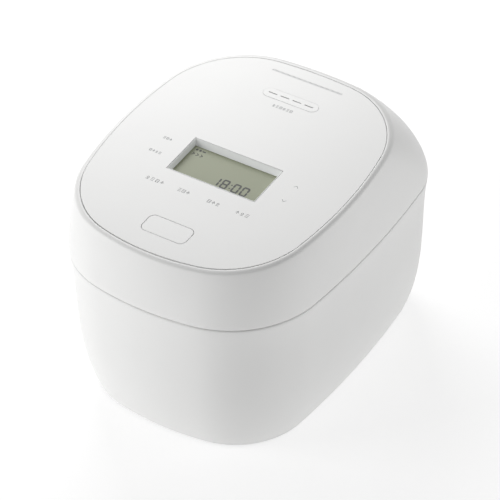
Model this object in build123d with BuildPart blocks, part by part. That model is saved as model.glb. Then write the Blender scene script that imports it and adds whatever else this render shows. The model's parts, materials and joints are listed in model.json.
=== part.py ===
from build123d import *
from collections import namedtuple
from math import atan2, cos, radians, sin, sqrt, tan
import os

# Household rice cooker, all sizes in millimetres.
# X runs across the cooker, the front faces -Y and +Z is up. The origin is on the
# floor, under the middle of the cooker's width and depth.

# --- Overall sizes; the reaches are counted from the line where the body is widest ---
width = 238.0
front_reach = 141.3
rear_reach = 180.0
foot_height = 3.0
split_height = 142.0
lid_height = 67.8
panel_height = split_height + lid_height
panel_tilt = 5.6
widest_y = (front_reach - rear_reach) / 2

# --- Rounding of the body where it meets the lid ---
body_side_radius = 861.3
body_front_radius = 259.7
body_back_radius = 276.6
body_front_corner = 84.6
body_back_corner = 66.4

# --- Top panel ---
panel_width = width - 16.6
panel_front = front_reach - 12.3
panel_back = rear_reach - 55.8
panel_side_radius = 347.1
panel_front_radius = 215.8
panel_back_radius = 405.3
panel_front_corner = 74.9
panel_back_corner = 78.1
panel_thickness = 2.4
panel_gap = 0.3
rim_width = 4.4
rim_drop = 0.2

# --- Walls and gaps ---
case_wall = 2.6
lid_wall = 2.8
lid_roof = 2.0
lid_gap = 1.0
fit_gap = 0.15
running_gap = 0.05
free_gap = 0.6
frame_gap = 0.8
foot_inset = 18.2
low_inset = 8.0
mid_inset = 4.0

# --- Pot and the bowl around it ---
pot_y = widest_y - 15.0
pot_radius = width / 2 - 24.5
pot_wall = 2.2
pot_corner = 22.0
pot_bottom = 38.0
pot_flange_radius = pot_radius + 6.5
pot_flange_thickness = 2.0
pot_rim_drop = 5.0
bowl_gap = 2.5
bowl_wall = 2.4
well_radius = pot_radius + 9.0
well_collar = 2.0
well_depth = 14.0
frame_plate = 2.6
leg_radius = 5.0
leg_reach = pot_radius - 6.5
pad_height = 3.2

# --- Lid underside ---
inner_lid_radius = pot_radius + 2.5
inner_lid_thickness = 1.2
gasket_inner = pot_radius - 6.5
gasket_outer = pot_radius + 5.0
gasket_height = 2.6
heater_radius = pot_radius - 4.5
heater_thickness = 1.2
lower_case_plate = 2.4
lower_case_opening = pot_radius - 14.5

# --- Hinge ---
hinge_y = widest_y + rear_reach - 19.0
hinge_z = split_height + 23.0
barrel_radius = 6.0
hinge_pin_radius = 2.0
knuckle_half = 29.5
ear_width = 12.0
hinge_gap = 0.4

# --- Display, steam outlet and button in the top panel ---
window_width = 88.4
window_depth = 43.8
window_y = widest_y - 16.0
window_sink = 5.0
window_taper = 18.0
bezel_wall = 2.6
glass_thickness = 2.2
steam_y = widest_y + 85.1
steam_width = 54.4
steam_depth = 11.0
slit_count = 4
slit_width = 8.8
slit_depth = 1.2
slit_pitch = 12.1
grille_rise = 0.15
grille_round = 0.1
button_y = widest_y - front_reach + 41.5
button_width = 43.6
button_depth = 19.6
button_corner = 5.5
button_gap = 0.35
button_height = 7.0

# --- Latch ---
latch_y = widest_y - front_reach + 15.3
latch_z = split_height + 24.0
latch_width = 14.0
latch_hub = 5.0
latch_pin_radius = 1.5
latch_arm = 3.0
latch_reach = 20.0
hook_bottom = split_height - 7.5
nose_length = 2.8
nose_height = 3.9
catch_edge = latch_y + 2.0
slot_front = latch_y - 8.5

# --- Electrical parts ---
coil_wire_radius = 1.6
coil_pitch = 3.6
coil_turns = 5
inner_coil_start = 26.0
outer_coil_start = 54.0
coil_plate_radius = pot_radius - 18.5
coil_plate = 2.4
ferrite_count = 6
ferrite_height = 5.0
sensor_radius = 11.0
sensor_skirt = 10.0
board_thickness = 1.6
board_y = pot_y + 119.0
fan_x = 20.0
fan_y = board_y + 24.0
fan_size = 50.0
fan_height = 12.0
blade_count = 7
inlet_width = 42.0
inlet_height = 30.0
inlet_z = 48.0
board_width = width - 88.0
control_depth = 92.0
inlet_corner = 4.0
inlet_rim = 4.0
inlet_cut = 40.0
inlet_pin_setback = 8.0
inlet_pin_size = (2, 12, 6)

# --- Bottom cover: legs, screws, vents and feet ---
leg_count = 4
leg_angle = 45.0
screw_radius = 1.5
screw_hole = 1.7
screw_head = 3.2
screw_head_height = 2.4
screw_recess = 3.8
screw_sink = 3.4
drive_length = 4.0
drive_width = 0.8
vent_width = 3.0
vent_length = 60.0
vent_pitch = 8.0
vent_count = 5
intake_length = 36.0
intake_pitch = 6.0
intake_count = 7
foot_radius = 9.0
foot_taper = 8.0
front_foot_x = width / 2 - 75.0
rear_foot_x = width / 2 - 53.0
front_foot_setback = 46.0
rear_foot_setback = 68.0

# --- Catch, coil carrier, ferrite bars and pot sensor ---
slot_margin = 2.0
catch_depth = 2.8
catch_thickness = 0.8
rest_reach = 47.0
rest_angle = 30.0
rest_hole_radius = 5.0
ferrite_reach = 48.0
ferrite_length = 46.0
ferrite_width = 11.0
ferrite_corner = 1.5
sensor_margin = 4.0
sensor_wall = 1.2
sensor_cap = 2.0
skirt_lift = 6.0
spring_radius = 6.5
spring_wire_radius = 0.5
spring_turns = 4
spring_seat = 0.6

# --- Heat sink and fan ---
sink_width = 46.0
sink_plate = 6.0
sink_height = 60.0
sink_fin = 20.0
sink_z = 56.0
fin_pitch = 5.0
fin_count = 9
fin_thickness = 1.6
full_turn = 360.0
fan_corner = 3.0
fan_wall = 1.6
fan_plate = 1.6
fan_hub_radius = 9.0
fan_strut_start = 7.0
fan_strut_count = 3
fan_strut_width = 2.4
hub_lift = 2.4
hub_inset = 3.2
blade_tilt = 35.0
blade_reach = 15.0
blade_length = 13.6
blade_width = 9.0
blade_thickness = 1.2

# --- Lid: how its outline turns into the rim's, and its screw posts ---
lid_curve = 1.4
low_share = 0.25
mid_share = 0.55
post_front = 56.0
post_back = 52.0

Outline = namedtuple("Outline", "width front back side_r front_r back_r front_c back_c")

body_outline = Outline(
    width,
    front_reach,
    rear_reach,
    body_side_radius,
    body_front_radius,
    body_back_radius,
    body_front_corner,
    body_back_corner,
)
panel_outline = Outline(
    panel_width,
    panel_front,
    panel_back,
    panel_side_radius,
    panel_front_radius,
    panel_back_radius,
    panel_front_corner,
    panel_back_corner,
)

back_y = (front_reach + rear_reach) / 2
lid_bottom = split_height + lid_gap
rim_height = panel_height - rim_drop
case_bottom = foot_height
pot_rim = split_height - pot_rim_drop
gasket_top = pot_rim + gasket_height
inner_lid_top = gasket_top + inner_lid_thickness
lower_case_z = lid_bottom + 0.2
heater_z = lower_case_z - heater_thickness
lower_case_top = lower_case_z + lower_case_plate
bowl_top = pot_rim - pot_flange_thickness
bowl_inner = pot_radius + bowl_gap
bowl_outer = bowl_inner + bowl_wall
bowl_bottom = pot_bottom - bowl_gap - bowl_wall
coil_z = bowl_bottom - 0.2 - coil_wire_radius
coil_plate_top = coil_z - coil_wire_radius
ferrite_top = coil_plate_top - coil_plate
cover_bottom = foot_height + 0.4
cover_top = cover_bottom + 2.4
pad_top = cover_top + pad_height
lid_back_y = hinge_y - hinge_gap
cover_front_y = hinge_y + hinge_gap

panel_plane = Plane(
    origin=(0, 0, panel_height),
    x_dir=(1, 0, 0),
    z_dir=(0, -sin(radians(panel_tilt)), cos(radians(panel_tilt))),
)


def quadrant(half_width, depth, side_r, end_r, corner_r):
    """Return the two tangent points and the corner centre of one outline quarter."""
    side_centre = half_width - side_r
    end_centre = depth - end_r
    end_gap = end_r - corner_r
    side_gap = side_r - corner_r
    span = sqrt(side_centre**2 + end_centre**2)
    along = (end_gap**2 - side_gap**2 + span**2) / (2 * span)
    off = sqrt(end_gap**2 - along**2)
    ux = side_centre / span
    uy = -end_centre / span
    choices = []
    for sign in (1, -1):
        x = along * ux - sign * off * uy
        y = end_centre + along * uy + sign * off * ux
        choices.append((x + y, x, y))
    centre = max(choices)[1:]
    side_angle = atan2(centre[1], centre[0] - side_centre)
    end_angle = atan2(centre[1] - end_centre, centre[0])
    side_point = (side_centre + side_r * cos(side_angle), side_r * sin(side_angle))
    end_point = (end_r * cos(end_angle), end_centre + end_r * sin(end_angle))
    middle = (side_angle + end_angle) / 2
    corner_point = (centre[0] + corner_r * cos(middle), centre[1] + corner_r * sin(middle))
    return side_point, corner_point, end_point


def outline_face(shape, inset=0.0, plane=Plane.XY):
    """Return the face inside a loop of eight tangent arcs, moved inward by inset."""
    half = shape.width / 2 - inset
    front = shape.front - inset
    back = shape.back - inset
    side_r = shape.side_r - inset
    fs, fc, fe = quadrant(half, front, side_r, shape.front_r - inset, shape.front_c - inset)
    bs, bc, be = quadrant(half, back, side_r, shape.back_r - inset, shape.back_c - inset)
    with BuildSketch(plane) as sketch:
        with BuildLine(Plane(origin=(0, widest_y, 0))):
            ThreePointArc((-fe[0], -fe[1]), (0, -front), (fe[0], -fe[1]))
            ThreePointArc((fe[0], -fe[1]), (fc[0], -fc[1]), (fs[0], -fs[1]))
            ThreePointArc((fs[0], -fs[1]), (half, 0), bs)
            ThreePointArc(bs, bc, be)
            ThreePointArc(be, (0, back), (-be[0], be[1]))
            ThreePointArc((-be[0], be[1]), (-bc[0], bc[1]), (-bs[0], bs[1]))
            ThreePointArc((-bs[0], bs[1]), (-half, 0), (-fs[0], -fs[1]))
            ThreePointArc((-fs[0], -fs[1]), (-fc[0], -fc[1]), (-fe[0], -fe[1]))
        make_face()
    return sketch.sketch.face()


def blend(low, high, share):
    """Mix two outlines, share 0 giving low and share 1 giving high."""
    return Outline(*[a + (b - a) * share for a, b in zip(low, high)])


def tilted_plane(share):
    """Return the plane of a lid section, level at the split and tilted at the panel."""
    angle = atan2(share * tan(radians(panel_tilt)), 1)
    height = lid_bottom + share * (rim_height - lid_bottom)
    return Plane(origin=(0, 0, height), x_dir=(1, 0, 0), z_dir=(0, -sin(angle), cos(angle)))


def lid_sections(inset):
    """Return the lid's sections, each moved inward from its outer skin by inset."""
    faces = []
    for share in lid_shares:
        shape = blend(body_outline, rim_outline, share**lid_curve)
        faces.append(outline_face(shape, inset, tilted_plane(share)))
    return faces


def case_sections(inset):
    """Return the sections of the outer case, each moved inward by inset."""
    faces = []
    for height, step in case_steps:
        faces.append(outline_face(body_outline, step + inset, Plane.XY.offset(height)))
    return faces


rim_outline = Outline(
    panel_width + 2 * rim_width,
    panel_front + rim_width,
    panel_back + rim_width,
    panel_side_radius + rim_width,
    panel_front_radius + rim_width,
    panel_back_radius + rim_width,
    panel_front_corner + rim_width,
    panel_back_corner + rim_width,
)
case_rise = split_height - case_bottom
case_steps = [
    (case_bottom, foot_inset),
    (case_bottom + low_share * case_rise, low_inset),
    (case_bottom + mid_share * case_rise, mid_inset),
    (split_height, 0.0),
]
lid_shares = [0, 0.35, 0.7, 1]

# ---------------------------------------------------------------- body
# The outer case is a tapered ring that is open at the top and the bottom.
with BuildPart() as outer_case:
    loft(case_sections(0))
    loft(case_sections(case_wall), mode=Mode.SUBTRACT)
    with BuildSketch(Plane.XZ.offset(-back_y - 10)):
        with Locations((0, inlet_z)):
            RectangleRounded(inlet_width + 2 * fit_gap, inlet_height + 2 * fit_gap, inlet_corner + fit_gap)
    extrude(amount=inlet_cut, mode=Mode.SUBTRACT)

# The bottom cover closes the case and lets the fan draw air through slots.
with BuildPart() as base_cover:
    with BuildSketch(Plane.XY.offset(cover_bottom)):
        add(outline_face(body_outline, foot_inset + case_wall + fit_gap))
    extrude(amount=cover_top - cover_bottom)
    with BuildSketch(Plane.XY.offset(cover_top)):
        with Locations((0, pot_y)):
            with PolarLocations(leg_reach, leg_count, start_angle=leg_angle):
                Circle(leg_radius + 2)
    extrude(amount=pad_height)
    with BuildSketch(Plane.XY.offset(cover_bottom)):
        with Locations((fan_x, fan_y)):
            with GridLocations(0, intake_pitch, 1, intake_count):
                SlotOverall(intake_length, vent_width)
        with Locations((0, pot_y)):
            with GridLocations(0, vent_pitch, 1, vent_count):
                SlotOverall(vent_length, vent_width)
    extrude(amount=cover_top - cover_bottom, mode=Mode.SUBTRACT)
    with BuildSketch(Plane.XY.offset(cover_bottom)):
        with Locations((0, pot_y)):
            with PolarLocations(leg_reach, leg_count, start_angle=leg_angle):
                Circle(screw_recess)
    extrude(amount=screw_sink, mode=Mode.SUBTRACT)
    with BuildSketch(Plane.XY.offset(cover_bottom)):
        with Locations((0, pot_y)):
            with PolarLocations(leg_reach, leg_count, start_angle=leg_angle):
                Circle(screw_hole)
    extrude(amount=pad_top - cover_bottom, mode=Mode.SUBTRACT)

foot_spots = [
    (-front_foot_x, widest_y - front_reach + front_foot_setback),
    (front_foot_x, widest_y - front_reach + front_foot_setback),
    (-rear_foot_x, back_y - rear_foot_setback),
    (rear_foot_x, back_y - rear_foot_setback),
]
with BuildPart() as rubber_feet:
    with BuildSketch(Plane.XY.offset(cover_bottom)):
        with Locations(*foot_spots):
            Circle(foot_radius)
    extrude(amount=-cover_bottom, taper=foot_taper)

with BuildPart() as base_screws:
    with BuildSketch(Plane.XY.offset(cover_bottom + 1)):
        with Locations((0, pot_y)):
            with PolarLocations(leg_reach, leg_count, start_angle=leg_angle):
                Circle(screw_head)
    extrude(amount=screw_head_height)
    with BuildSketch(Plane.XY.offset(cover_bottom + screw_sink)):
        with Locations((0, pot_y)):
            with PolarLocations(leg_reach, leg_count, start_angle=leg_angle):
                Circle(screw_radius)
    extrude(amount=16)
    with BuildSketch(Plane.XY.offset(cover_bottom + 1)):
        with Locations((0, pot_y)):
            with PolarLocations(leg_reach, leg_count, start_angle=leg_angle):
                Rectangle(drive_length, drive_width)
                Rectangle(drive_width, drive_length)
    extrude(amount=1.2, mode=Mode.SUBTRACT)

# The top frame closes the body around the round well that the pot drops into.
frame_bottom = split_height - frame_plate
with BuildPart() as top_frame:
    with BuildSketch(Plane.XY.offset(frame_bottom)):
        add(outline_face(body_outline, case_wall + frame_gap))
    extrude(amount=frame_plate)
    with BuildSketch(Plane.XY.offset(split_height - well_depth)):
        with Locations((0, pot_y)):
            Circle(well_radius + well_collar)
    extrude(amount=well_depth)
    with BuildSketch(Plane.XY.offset(split_height - well_depth)):
        with Locations((0, pot_y)):
            Circle(well_radius)
    extrude(amount=well_depth, mode=Mode.SUBTRACT)
    with BuildSketch(Plane.XY.offset(frame_bottom)):
        with Locations((0, (slot_front + catch_edge) / 2)):
            Rectangle(latch_width + 2 * slot_margin, catch_edge - slot_front)
    extrude(amount=frame_plate, mode=Mode.SUBTRACT)

# A steel strip under the frame is what the latch hooks behind.
with BuildPart() as catch_plate:
    with BuildSketch(Plane.XY.offset(frame_bottom - catch_thickness)):
        with Locations((0, catch_edge + catch_depth / 2)):
            Rectangle(latch_width + 6 * slot_margin, catch_depth)
    extrude(amount=catch_thickness)

# The pot stands in a heat-proof bowl on four legs.
bowl_corner = pot_corner + bowl_gap
with BuildPart() as coil_bowl:
    with BuildSketch(Plane.XY.offset(bowl_bottom)):
        with Locations((0, pot_y)):
            Circle(bowl_outer)
    extrude(amount=bowl_top - bowl_bottom)
    fillet(coil_bowl.edges().group_by(Axis.Z)[0], bowl_corner + bowl_wall)
    with BuildSketch(Plane.XY.offset(bowl_top - bowl_wall)):
        with Locations((0, pot_y)):
            Circle(well_radius - fit_gap)
    extrude(amount=bowl_wall)
    with BuildSketch(Plane.XY.offset(pad_top)):
        with Locations((0, pot_y)):
            with PolarLocations(leg_reach, leg_count, start_angle=leg_angle):
                Circle(leg_radius)
    extrude(amount=pot_bottom + 6 - pad_top)
    with BuildSketch(Plane((0, pot_y, 0), x_dir=(1, 0, 0), z_dir=(0, -1, 0))):
        with BuildLine():
            Polyline(
                (bowl_inner, bowl_bottom + bowl_wall + bowl_corner),
                (bowl_inner, bowl_top + 1),
                (0, bowl_top + 1),
                (0, bowl_bottom + bowl_wall),
                (bowl_inner - bowl_corner, bowl_bottom + bowl_wall),
            )
            RadiusArc(
                (bowl_inner - bowl_corner, bowl_bottom + bowl_wall),
                (bowl_inner, bowl_bottom + bowl_wall + bowl_corner),
                -bowl_corner,
            )
        make_face()
    revolve(axis=Axis((0, pot_y, 0), (0, 0, 1)), mode=Mode.SUBTRACT)
    with BuildSketch(Plane.XY.offset(bowl_bottom)):
        with Locations((0, pot_y)):
            Circle(sensor_radius + sensor_margin)
    extrude(amount=bowl_wall, mode=Mode.SUBTRACT)
    with BuildSketch(Plane.XY.offset(pad_top)):
        with Locations((0, pot_y)):
            with PolarLocations(leg_reach, leg_count, start_angle=leg_angle):
                Circle(screw_radius)
    extrude(amount=14, mode=Mode.SUBTRACT)

with BuildPart() as inner_pot:
    with BuildSketch(Plane.XY.offset(pot_bottom)):
        with Locations((0, pot_y)):
            Circle(pot_radius)
    extrude(amount=pot_rim - pot_bottom)
    fillet(inner_pot.edges().group_by(Axis.Z)[0], pot_corner)
    with BuildSketch(Plane.XY.offset(bowl_top)):
        with Locations((0, pot_y)):
            Circle(pot_flange_radius)
    extrude(amount=pot_flange_thickness)
    with BuildSketch(Plane((0, pot_y, 0), x_dir=(1, 0, 0), z_dir=(0, -1, 0))):
        with BuildLine():
            Polyline(
                (pot_radius - pot_wall, pot_bottom + pot_corner),
                (pot_radius - pot_wall, pot_rim + 1),
                (0, pot_rim + 1),
                (0, pot_bottom + pot_wall),
                (pot_radius - pot_corner, pot_bottom + pot_wall),
            )
            RadiusArc(
                (pot_radius - pot_corner, pot_bottom + pot_wall),
                (pot_radius - pot_wall, pot_bottom + pot_corner),
                -(pot_corner - pot_wall),
            )
        make_face()
    revolve(axis=Axis((0, pot_y, 0), (0, 0, 1)), mode=Mode.SUBTRACT)

# Each winding is drawn as closed rings of wire side by side.
with BuildPart() as inner_coil:
    for turn in range(coil_turns):
        with Locations((0, pot_y, coil_z)):
            Torus(inner_coil_start + turn * coil_pitch, coil_wire_radius)

with BuildPart() as outer_coil:
    for turn in range(coil_turns):
        with Locations((0, pot_y, coil_z)):
            Torus(outer_coil_start + turn * coil_pitch, coil_wire_radius)

with BuildPart() as coil_carrier:
    with BuildSketch(Plane.XY.offset(ferrite_top)):
        with Locations((0, pot_y)):
            Circle(coil_plate_radius)
            Circle(sensor_radius + 3, mode=Mode.SUBTRACT)
            with PolarLocations(rest_reach, ferrite_count, start_angle=rest_angle):
                Circle(rest_hole_radius, mode=Mode.SUBTRACT)
    extrude(amount=coil_plate)

with BuildPart() as ferrite_bars:
    with BuildSketch(Plane.XY.offset(ferrite_top - ferrite_height)):
        with Locations((0, pot_y)):
            with PolarLocations(ferrite_reach, ferrite_count):
                RectangleRounded(ferrite_length, ferrite_width, ferrite_corner)
    extrude(amount=ferrite_height)

# A band heater is wrapped round the upper part of the bowl.
with BuildPart() as side_heater:
    with BuildSketch(Plane.XY.offset(bowl_top - 32)):
        with Locations((0, pot_y)):
            Circle(bowl_outer + 1.6)
            Circle(bowl_outer, mode=Mode.SUBTRACT)
    extrude(amount=16)

# The temperature sensor is pushed up against the pot by a spring.
sensor_top = pot_bottom - 0.1
holder_floor = ferrite_top - 10
with BuildPart() as pot_sensor:
    with BuildSketch(Plane.XY.offset(sensor_top - 2)):
        with Locations((0, pot_y)):
            Circle(sensor_radius)
    extrude(amount=2)
    with BuildSketch(Plane.XY.offset(holder_floor + skirt_lift)):
        with Locations((0, pot_y)):
            Circle(sensor_skirt)
            Circle(sensor_skirt - sensor_wall, mode=Mode.SUBTRACT)
    extrude(amount=sensor_top - sensor_cap - holder_floor - skirt_lift)
    fillet(pot_sensor.edges().group_by(Axis.Z)[-1], 0.8)

with BuildPart() as sensor_holder:
    with BuildSketch(Plane.XY.offset(holder_floor - 1.6)):
        with Locations((0, pot_y)):
            Circle(sensor_radius + 3)
    extrude(amount=coil_plate_top - holder_floor + 1.6)
    with BuildSketch(Plane.XY.offset(holder_floor)):
        with Locations((0, pot_y)):
            Circle(sensor_skirt + free_gap)
    extrude(amount=coil_plate_top - holder_floor, mode=Mode.SUBTRACT)

spring_height = sensor_top - sensor_cap - holder_floor - 2 * spring_seat
with BuildPart() as sensor_spring:
    with BuildLine():
        Helix(
            pitch=spring_height / spring_turns,
            height=spring_height,
            radius=spring_radius,
            center=(0, pot_y, holder_floor + spring_seat),
        )
    wire_start = (spring_radius, pot_y, holder_floor + spring_seat)
    with BuildSketch(Plane(wire_start, x_dir=(1, 0, 0), z_dir=(0, 1, 0))):
        Circle(spring_wire_radius)
    sweep()

# The power board stands upright behind the bowl.
board_face = board_y + board_thickness
with BuildPart() as power_board:
    with Locations((0, board_y + board_thickness / 2, 76)):
        Box(124, board_thickness, 100)

with BuildPart() as heat_sink:
    with Locations((fan_x, board_face + sink_plate / 2, sink_z)):
        Box(sink_width, sink_plate, sink_height)
    with Locations((fan_x, board_face + sink_plate + sink_fin / 2, sink_z)):
        with GridLocations(fin_pitch, 0, fin_count, 1):
            Box(fin_thickness, sink_fin, sink_height)

with BuildPart() as power_devices:
    with Locations((fan_x, board_face + 2.2, 96)):
        with GridLocations(20, 0, 2, 1):
            Box(15, 4.4, 18)

with BuildPart() as filter_capacitors:
    with Locations((-32, board_face + 8, 50)):
        with GridLocations(0, 24, 1, 1):
            Box(30, 16, 18)
    with Locations((-32, board_face + 6.5, 76)):
        Box(26, 13, 14)

with BuildPart() as choke_coil:
    with Locations(Location((-36, board_face + 7, 106), (90, 0, 0))):
        Torus(11, 6)

# A small fan lies over the slots and blows up through the heat sink.
fan_bottom = cover_top
with BuildPart() as fan_housing:
    with BuildSketch(Plane.XY.offset(fan_bottom)):
        with Locations((fan_x, fan_y)):
            RectangleRounded(fan_size, fan_size, fan_corner)
            Circle(fan_size / 2 - fan_wall, mode=Mode.SUBTRACT)
            Circle(fan_hub_radius)
            with PolarLocations((fan_size / 2 + fan_strut_start) / 2, fan_strut_count):
                Rectangle(fan_size / 2 - fan_strut_start, fan_strut_width)
    extrude(amount=fan_plate)
    with BuildSketch(Plane.XY.offset(fan_bottom + fan_plate)):
        with Locations((fan_x, fan_y)):
            RectangleRounded(fan_size, fan_size, fan_corner)
            Circle(fan_size / 2 - fan_wall, mode=Mode.SUBTRACT)
            Circle(1)
    extrude(amount=fan_height - fan_plate)

blade_places = []
for blade in range(blade_count):
    angle = radians(full_turn / blade_count * blade)
    out = (cos(angle), sin(angle), 0)
    tilt = radians(blade_tilt)
    normal = (-sin(angle) * sin(tilt), cos(angle) * sin(tilt), cos(tilt))
    spot = (fan_x + blade_reach * out[0], fan_y + blade_reach * out[1], fan_bottom + fan_height / 2 + 0.8)
    blade_places.append(Location(Plane(origin=spot, x_dir=out, z_dir=normal)))
with BuildPart() as fan_rotor:
    with Locations(*blade_places):
        Box(blade_length, blade_width, blade_thickness)
    with BuildSketch(Plane.XY.offset(fan_bottom + hub_lift)):
        with Locations((fan_x, fan_y)):
            Circle(fan_hub_radius)
    extrude(amount=fan_height - hub_inset)
    with BuildSketch(Plane.XY.offset(fan_bottom + hub_lift)):
        with Locations((fan_x, fan_y)):
            Circle(1 + running_gap)
    extrude(amount=fan_height - hub_inset, mode=Mode.SUBTRACT)

# The mains lead plugs into a recessed inlet low down at the back.
inlet_face = back_y - low_inset + 1.4
with BuildPart() as power_inlet:
    with BuildSketch(Plane.XZ.offset(-inlet_face)):
        with Locations((0, inlet_z)):
            RectangleRounded(inlet_width, inlet_height, inlet_corner)
    extrude(amount=18)
    with BuildSketch(Plane.XZ.offset(-inlet_face)):
        with Locations((0, inlet_z)):
            RectangleRounded(inlet_width - 2 * inlet_rim, inlet_height - 2 * inlet_rim, inlet_corner - 1)
    extrude(amount=14, mode=Mode.SUBTRACT)

with BuildPart() as inlet_pins:
    with Locations((0, inlet_face - inlet_pin_setback, inlet_z)):
        with GridLocations(13, 0, 2, 1):
            Box(*inlet_pin_size)

# ---------------------------------------------------------------- hinge
# The lid's outer shape and the hollow inside it are cut by several pieces.
with BuildPart() as lid_form:
    loft(lid_sections(0))

roof_bottom = panel_plane.offset(-panel_thickness - lid_roof)
with BuildPart() as lid_hollow:
    loft(lid_sections(lid_wall))
    with BuildSketch(roof_bottom):
        Rectangle(2 * width, 3 * width)
    extrude(amount=inlet_cut, mode=Mode.SUBTRACT)

# The shell's hollow stops short of its flat back wall.
with BuildPart() as shell_hollow:
    add(lid_hollow.part)
    with Locations((0, lid_back_y - case_wall + width, panel_height)):
        Box(2 * width, 2 * width, 2 * width, mode=Mode.SUBTRACT)

ear_start = knuckle_half + 0.5
ear_end = ear_start + ear_width
barrel_plane = Plane.YZ
hinge_point = (hinge_y, hinge_z)

# The hinge cover is the fixed back end of the lid's shape.
with BuildPart() as hinge_cover:
    add(lid_form.part)
    with BuildSketch(Plane.XY.offset(split_height)):
        add(outline_face(body_outline))
    extrude(amount=lid_gap)
    with Locations((0, cover_front_y - width, lid_bottom)):
        Box(2 * width, 2 * width, width, mode=Mode.SUBTRACT)
    with Locations((0, hinge_y, hinge_z - hinge_gap + width / 2)):
        Box(2 * width, width, width, mode=Mode.SUBTRACT)
    with Locations((0, cover_front_y + 5.5, lid_bottom + 5)):
        Box(70, 7, 10 + 2 * lid_gap, mode=Mode.SUBTRACT)
    with BuildSketch(barrel_plane.offset(-ear_end)):
        with Locations(hinge_point):
            Circle(barrel_radius + free_gap)
    extrude(amount=2 * ear_end, mode=Mode.SUBTRACT)
    with BuildSketch(barrel_plane.offset(ear_start)):
        with Locations(hinge_point):
            Circle(barrel_radius)
    extrude(amount=ear_width)
    with BuildSketch(barrel_plane.offset(-ear_start)):
        with Locations(hinge_point):
            Circle(barrel_radius)
    extrude(amount=-ear_width)
    with BuildSketch(barrel_plane.offset(-ear_end)):
        with Locations(hinge_point):
            Circle(hinge_pin_radius)
    extrude(amount=2 * ear_end, mode=Mode.SUBTRACT)

with BuildPart() as hinge_pin:
    with BuildSketch(barrel_plane.offset(-ear_end)):
        with Locations(hinge_point):
            Circle(hinge_pin_radius)
    extrude(amount=2 * ear_end)

# ---------------------------------------------------------------- lid
def roof_z(y):
    """Return the height of the middle of the lid's roof at a distance y."""
    return panel_height + tan(radians(panel_tilt)) * y - panel_thickness - lid_roof / 2


post_x = panel_width / 2 - 22
post_spots = [
    (-post_x, widest_y - post_front),
    (post_x, widest_y - post_front),
    (-post_x, widest_y + post_back),
    (post_x, widest_y + post_back),
]
post_radius = 4.0
with BuildPart() as lid_shell:
    add(lid_form.part)
    with Locations((0, lid_back_y + width, panel_height)):
        Box(2 * width, 2 * width, 2 * width, mode=Mode.SUBTRACT)
    add(shell_hollow.part, mode=Mode.SUBTRACT)
    for x, y in post_spots:
        with BuildSketch(Plane.XY.offset(lower_case_top)):
            with Locations((x, y)):
                Circle(post_radius)
        extrude(amount=roof_z(y) - lower_case_top)
    with BuildSketch(Plane.XY.offset(lower_case_top)):
        with Locations(*post_spots):
            Circle(screw_radius)
    extrude(amount=12, mode=Mode.SUBTRACT)
    with BuildSketch(panel_plane.offset(-panel_thickness)):
        add(outline_face(panel_outline, -panel_gap))
    extrude(amount=10, mode=Mode.SUBTRACT)
    with BuildSketch(panel_plane):
        with Locations((0, window_y)):
            Rectangle(
                window_width + 2 * bezel_wall + free_gap,
                window_depth + 2 * bezel_wall + free_gap,
            )
        with Locations((0, steam_y)):
            SlotOverall(steam_width - 4, steam_depth - 3)
        with Locations((0, button_y)):
            RectangleRounded(
                button_width + 2 * button_gap,
                button_depth + 2 * button_gap,
                button_corner + button_gap,
            )
    extrude(amount=-panel_thickness - lid_roof - 1, mode=Mode.SUBTRACT)
    with BuildSketch(barrel_plane.offset(-ear_end - 0.5)):
        with Locations(hinge_point):
            Circle(barrel_radius + free_gap)
    extrude(amount=2 * ear_end + 1, mode=Mode.SUBTRACT)
    with Locations((0, hinge_y - 3, (lid_bottom + hinge_z) / 2)):
        Box(2 * knuckle_half + 1, 12, hinge_z - lid_bottom, mode=Mode.SUBTRACT)

with BuildPart() as lid_panel:
    with BuildSketch(panel_plane):
        add(outline_face(panel_outline))
        with Locations((0, window_y)):
            Rectangle(window_width, window_depth, mode=Mode.SUBTRACT)
        with Locations((0, steam_y)):
            SlotOverall(steam_width + 2 * fit_gap, steam_depth + 2 * fit_gap, mode=Mode.SUBTRACT)
        with Locations((0, button_y)):
            RectangleRounded(
                button_width + 2 * button_gap,
                button_depth + 2 * button_gap,
                button_corner + button_gap,
                mode=Mode.SUBTRACT,
            )
    extrude(amount=-panel_thickness)

tray_plane = panel_plane.offset(-panel_thickness)
with BuildPart() as window_frame:
    with BuildSketch(tray_plane):
        with Locations((0, window_y)):
            RectangleRounded(window_width + 2 * bezel_wall, window_depth + 2 * bezel_wall, 1.5)
    extrude(amount=-window_sink)
    with BuildSketch(tray_plane):
        with Locations((0, window_y)):
            Rectangle(window_width, window_depth)
    extrude(amount=-window_sink, taper=window_taper, mode=Mode.SUBTRACT)

glass_plane = tray_plane.offset(-window_sink)
with BuildPart() as display_glass:
    with BuildSketch(glass_plane):
        with Locations((0, window_y)):
            Rectangle(window_width + 2, window_depth + 2)
    extrude(amount=-glass_thickness)

board_plane = glass_plane.offset(-glass_thickness)
with BuildPart() as control_board:
    with BuildSketch(board_plane):
        with Locations((0, window_y - 8)):
            Rectangle(board_width, control_depth)
    extrude(amount=-board_thickness)

under_board = board_plane.offset(-board_thickness)
with BuildPart() as buzzer:
    with BuildSketch(under_board):
        with Locations((50, window_y)):
            Circle(7)
            Circle(1.2, mode=Mode.SUBTRACT)
    extrude(amount=-6)

with BuildPart() as clock_battery:
    with BuildSketch(under_board):
        with Locations((-50, window_y)):
            Circle(10)
    extrude(amount=-3.2)

with BuildPart() as board_chips:
    with BuildSketch(under_board):
        with Locations((0, window_y)):
            with GridLocations(30, 0, 2, 1):
                Rectangle(14, 14)
        with Locations((0, window_y - 28)):
            with GridLocations(22, 0, 4, 1):
                Rectangle(6, 5)
    extrude(amount=-1.8)

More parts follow.
